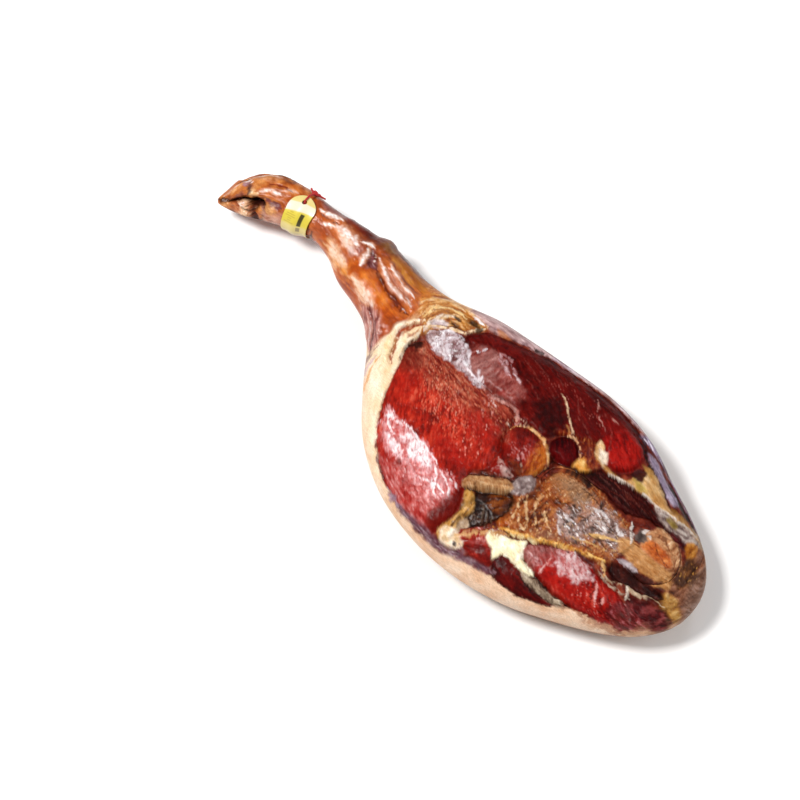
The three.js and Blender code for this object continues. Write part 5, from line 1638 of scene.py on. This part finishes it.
class Shader:
    """A small helper that adds nodes to a material and links them."""

    def __init__(self, name):
        self.material = bpy.data.materials.new(name)
        self.material.use_nodes = True
        self.tree = self.material.node_tree
        self.skin = self.tree.nodes["Principled BSDF"]

    def add(self, kind, **settings):
        node = self.tree.nodes.new(kind)
        for key, value in settings.items():
            if hasattr(node, key):
                setattr(node, key, value)
            else:
                node.inputs[key.replace("_", " ")].default_value = value
        return node

    def link(self, source, target):
        self.tree.links.new(source, target)

    def noise(self, vector, scale, detail=3.0):
        node = self.add("ShaderNodeTexNoise", Scale=scale, Detail=detail)
        self.link(vector, node.inputs["Vector"])
        return node.outputs["Fac"]

    def speckle(self, scale, detail, dark, light):
        """Colours the surface by noise, from a dark colour to a light one, and gives back the noise."""
        speckles = self.noise(self.add("ShaderNodeTexCoord").outputs["Object"], scale, detail)
        colours = self.add("ShaderNodeValToRGB")
        for stop, colour in zip(colours.color_ramp.elements, (dark, light)):
            stop.color = (*colour, 1)
        self.link(speckles, colours.inputs["Fac"])
        self.link(colours.outputs["Color"], self.skin.inputs["Base Color"])
        return speckles

    def fibres(self, place, angle, long=0.006, wide=0.0011):
        """Noise drawn out along an angle in degrees, in metres."""
        node = self.add("ShaderNodeMapping", vector_type="TEXTURE")
        node.inputs["Rotation"].default_value = (0, 0, math.radians(angle))
        node.inputs["Scale"].default_value = (long, wide, wide)
        self.link(place, node.inputs["Vector"])
        return self.noise(node.outputs["Vector"], 1.0, 3.0)

    def math(self, operation, a, b):
        node = self.add("ShaderNodeMath", operation=operation)
        for socket, value in zip(node.inputs, (a, b)):
            if isinstance(value, (int, float)):
                socket.default_value = value
            else:
                self.link(value, socket)
        return node.outputs["Value"]

    def mixed(self, share, a, b):
        node = self.add("ShaderNodeMix", data_type="FLOAT")
        self.link(share, node.inputs["Factor"])
        self.link(a, node.inputs["A"])
        self.link(b, node.inputs["B"])
        return node.outputs["Result"]

    def between(self, noise, low, high):
        """Spreads noise, which is mostly from a quarter to three quarters, over low to high."""
        node = self.add("ShaderNodeMapRange")
        for name, number in (("From Min", 0.25), ("From Max", 0.75), ("To Min", low), ("To Max", high)):
            node.inputs[name].default_value = number
        self.link(noise, node.inputs["Value"])
        return node.outputs["Result"]

    def bump(self, height, strength, distance, below=None):
        node = self.add("ShaderNodeBump", Strength=strength, Distance=distance)
        self.link(height, node.inputs["Height"])
        if below is not None:
            self.link(below, node.inputs["Normal"])
        return node.outputs["Normal"]

    def set(self, **values):
        for key, value in values.items():
            self.skin.inputs[key.replace("_", " ")].default_value = value


def painted_material(name, specular, coat, fibre_bump, wrinkle_bump, colour_swing):
    """Takes colour, roughness and gloss from the mesh's points, and adds fibres, wrinkles and pores."""
    shader = Shader(name)
    tint = shader.add("ShaderNodeAttribute", attribute_name="tint").outputs["Color"]
    rough = shader.add("ShaderNodeAttribute", attribute_name="rough").outputs["Fac"]
    look = shader.add("ShaderNodeAttribute", attribute_name="look").outputs["Vector"]
    parts = shader.add("ShaderNodeSeparateXYZ")
    shader.link(look, parts.inputs["Vector"])
    place = shader.add("ShaderNodeTexCoord").outputs["Object"]
    level = shader.fibres(place, -12)
    steep = shader.fibres(place, -54)
    fibre = shader.mixed(parts.outputs["Y"], level, steep)
    wrinkle = shader.noise(place, scale=260.0, detail=4.0)
    pores = shader.noise(place, scale=1100.0, detail=2.0)
    lift = shader.between(fibre, 1 - colour_swing, 1 + colour_swing)
    pore_lift = shader.between(pores, 1 - 0.5 * colour_swing, 1 + 0.5 * colour_swing)
    lift = shader.math("MULTIPLY", lift, pore_lift)
    scale = shader.add("ShaderNodeVectorMath", operation="SCALE")
    shader.link(tint, scale.inputs[0])
    shader.link(lift, scale.inputs["Scale"])
    shader.link(scale.outputs["Vector"], shader.skin.inputs["Base Color"])
    uneven = shader.math("ADD", rough, shader.between(wrinkle, -0.1, 0.1))
    shader.link(uneven, shader.skin.inputs["Roughness"])
    wrinkled = shader.math("MULTIPLY", wrinkle, parts.outputs["Z"])
    normal = shader.bump(wrinkled, wrinkle_bump, distance=0.0016)
    normal = shader.bump(fibre, fibre_bump, distance=0.0007, below=normal)
    normal = shader.bump(pores, strength=0.3, distance=0.0003, below=normal)
    shader.link(normal, shader.skin.inputs["Normal"])
    shader.link(normal, shader.skin.inputs["Coat Normal"])
    shader.link(shader.math("MULTIPLY", parts.outputs["X"], coat), shader.skin.inputs["Coat Weight"])
    shader.set(Coat_Roughness=0.1, Specular_IOR_Level=specular)
    return shader.material


def string_material():
    """Red cotton, fuzzy and matt."""
    shader = Shader("red cotton")
    fuzz = shader.speckle(1500.0, 3.0, (0.18, 0.004, 0.004), (0.62, 0.025, 0.025))
    shader.link(shader.bump(fuzz, strength=0.5, distance=0.0003), shader.skin.inputs["Normal"])
    shader.set(Roughness=0.75, Sheen_Weight=0.2, Sheen_Roughness=0.5, Specular_IOR_Level=0.2)
    return shader.material


def floor_material():
    """Pale and matt, with faint differences."""
    shader = Shader("pale floor")
    shader.speckle(3.0, 2.0, (0.88, 0.88, 0.88), (0.92, 0.92, 0.92))
    shader.set(Roughness=0.9, Specular_IOR_Level=0.1)
    return shader.material


# Camera, floor and lights


def back_direction(turn, rise):
    """From the target to the camera: turn 0 looks along +Y."""
    return Vector((math.sin(turn) * math.cos(rise), -math.cos(turn) * math.cos(rise), math.sin(rise)))


def make_camera():
    """The photograph's own view."""
    data = bpy.data.cameras.new("camera")
    data.lens = LENS
    camera = bpy.data.objects.new("camera", data)
    back = back_direction(VIEW_TURN, VIEW_RISE)
    camera.location = (Vector(VIEW_TARGET) + back * VIEW_DISTANCE) * MM
    camera.rotation_euler = back.to_track_quat("Z", "Y").to_euler()
    bpy.context.scene.collection.objects.link(camera)
    bpy.context.scene.camera = camera


def make_light(name, turn, rise, distance, size, power, colour):
    """A square softbox that looks at the middle of the ham: angles in degrees, lengths in metres."""
    data = bpy.data.lights.new(name, "AREA")
    data.size = size
    data.energy = power
    data.color = colour
    light = bpy.data.objects.new(name, data)
    back = back_direction(math.radians(turn), math.radians(rise))
    light.location = back * distance
    light.rotation_euler = back.to_track_quat("Z", "Y").to_euler()
    bpy.context.scene.collection.objects.link(light)


def make_stage():
    """A pale floor, a white world and three softboxes."""
    reach = 6000
    corners = reach * np.array([(-1, -1, 0), (1, -1, 0), (1, 1, 0), (-1, 1, 0)])
    floor = shown("floor", corners, [(0, 1, 2, 3)])
    floor.data.materials.append(floor_material())
    world = bpy.data.worlds.new("studio")
    world.use_nodes = True
    sky = world.node_tree.nodes["Background"]
    sky.inputs["Color"].default_value = (1, 1, 1, 1)
    sky.inputs["Strength"].default_value = 0.3
    bpy.context.scene.world = world
    make_light("key", turn=-42, rise=62, distance=2.4, size=0.6, power=62, colour=(1, 0.98, 0.96))
    make_light("fill", turn=110, rise=46, distance=2.8, size=1.8, power=26, colour=(1, 0.99, 0.98))
    make_light("back", turn=190, rise=50, distance=2.4, size=0.5, power=6, colour=(0.9, 0.92, 1))


make_camera()
make_stage()

meat = painted_material(
    "cured meat", specular=0.03, coat=0.55, fibre_bump=0.45, wrinkle_bump=0.6, colour_swing=0.2
)
bone = painted_material(
    "dried bone", specular=0.06, coat=0.3, fibre_bump=0.6, wrinkle_bump=0.6, colour_swing=0.2
)
card = painted_material(
    "printed card", specular=0.3, coat=0.3, fibre_bump=0.05, wrinkle_bump=0.05, colour_swing=0.02
)

for piece, material, node, slot in (
    (make_ham(), meat, "ham", "cured_meat"),
    (make_bone(), bone, "hip_bone", "bone"),
    (make_tag(), card, "tag", "card"),
    (make_string(), string_material(), "string", "string"),
):
    piece.data.materials.append(material)
    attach(piece, "root")
    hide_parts(node)

bpy.context.scene.view_settings.view_transform = "Standard"
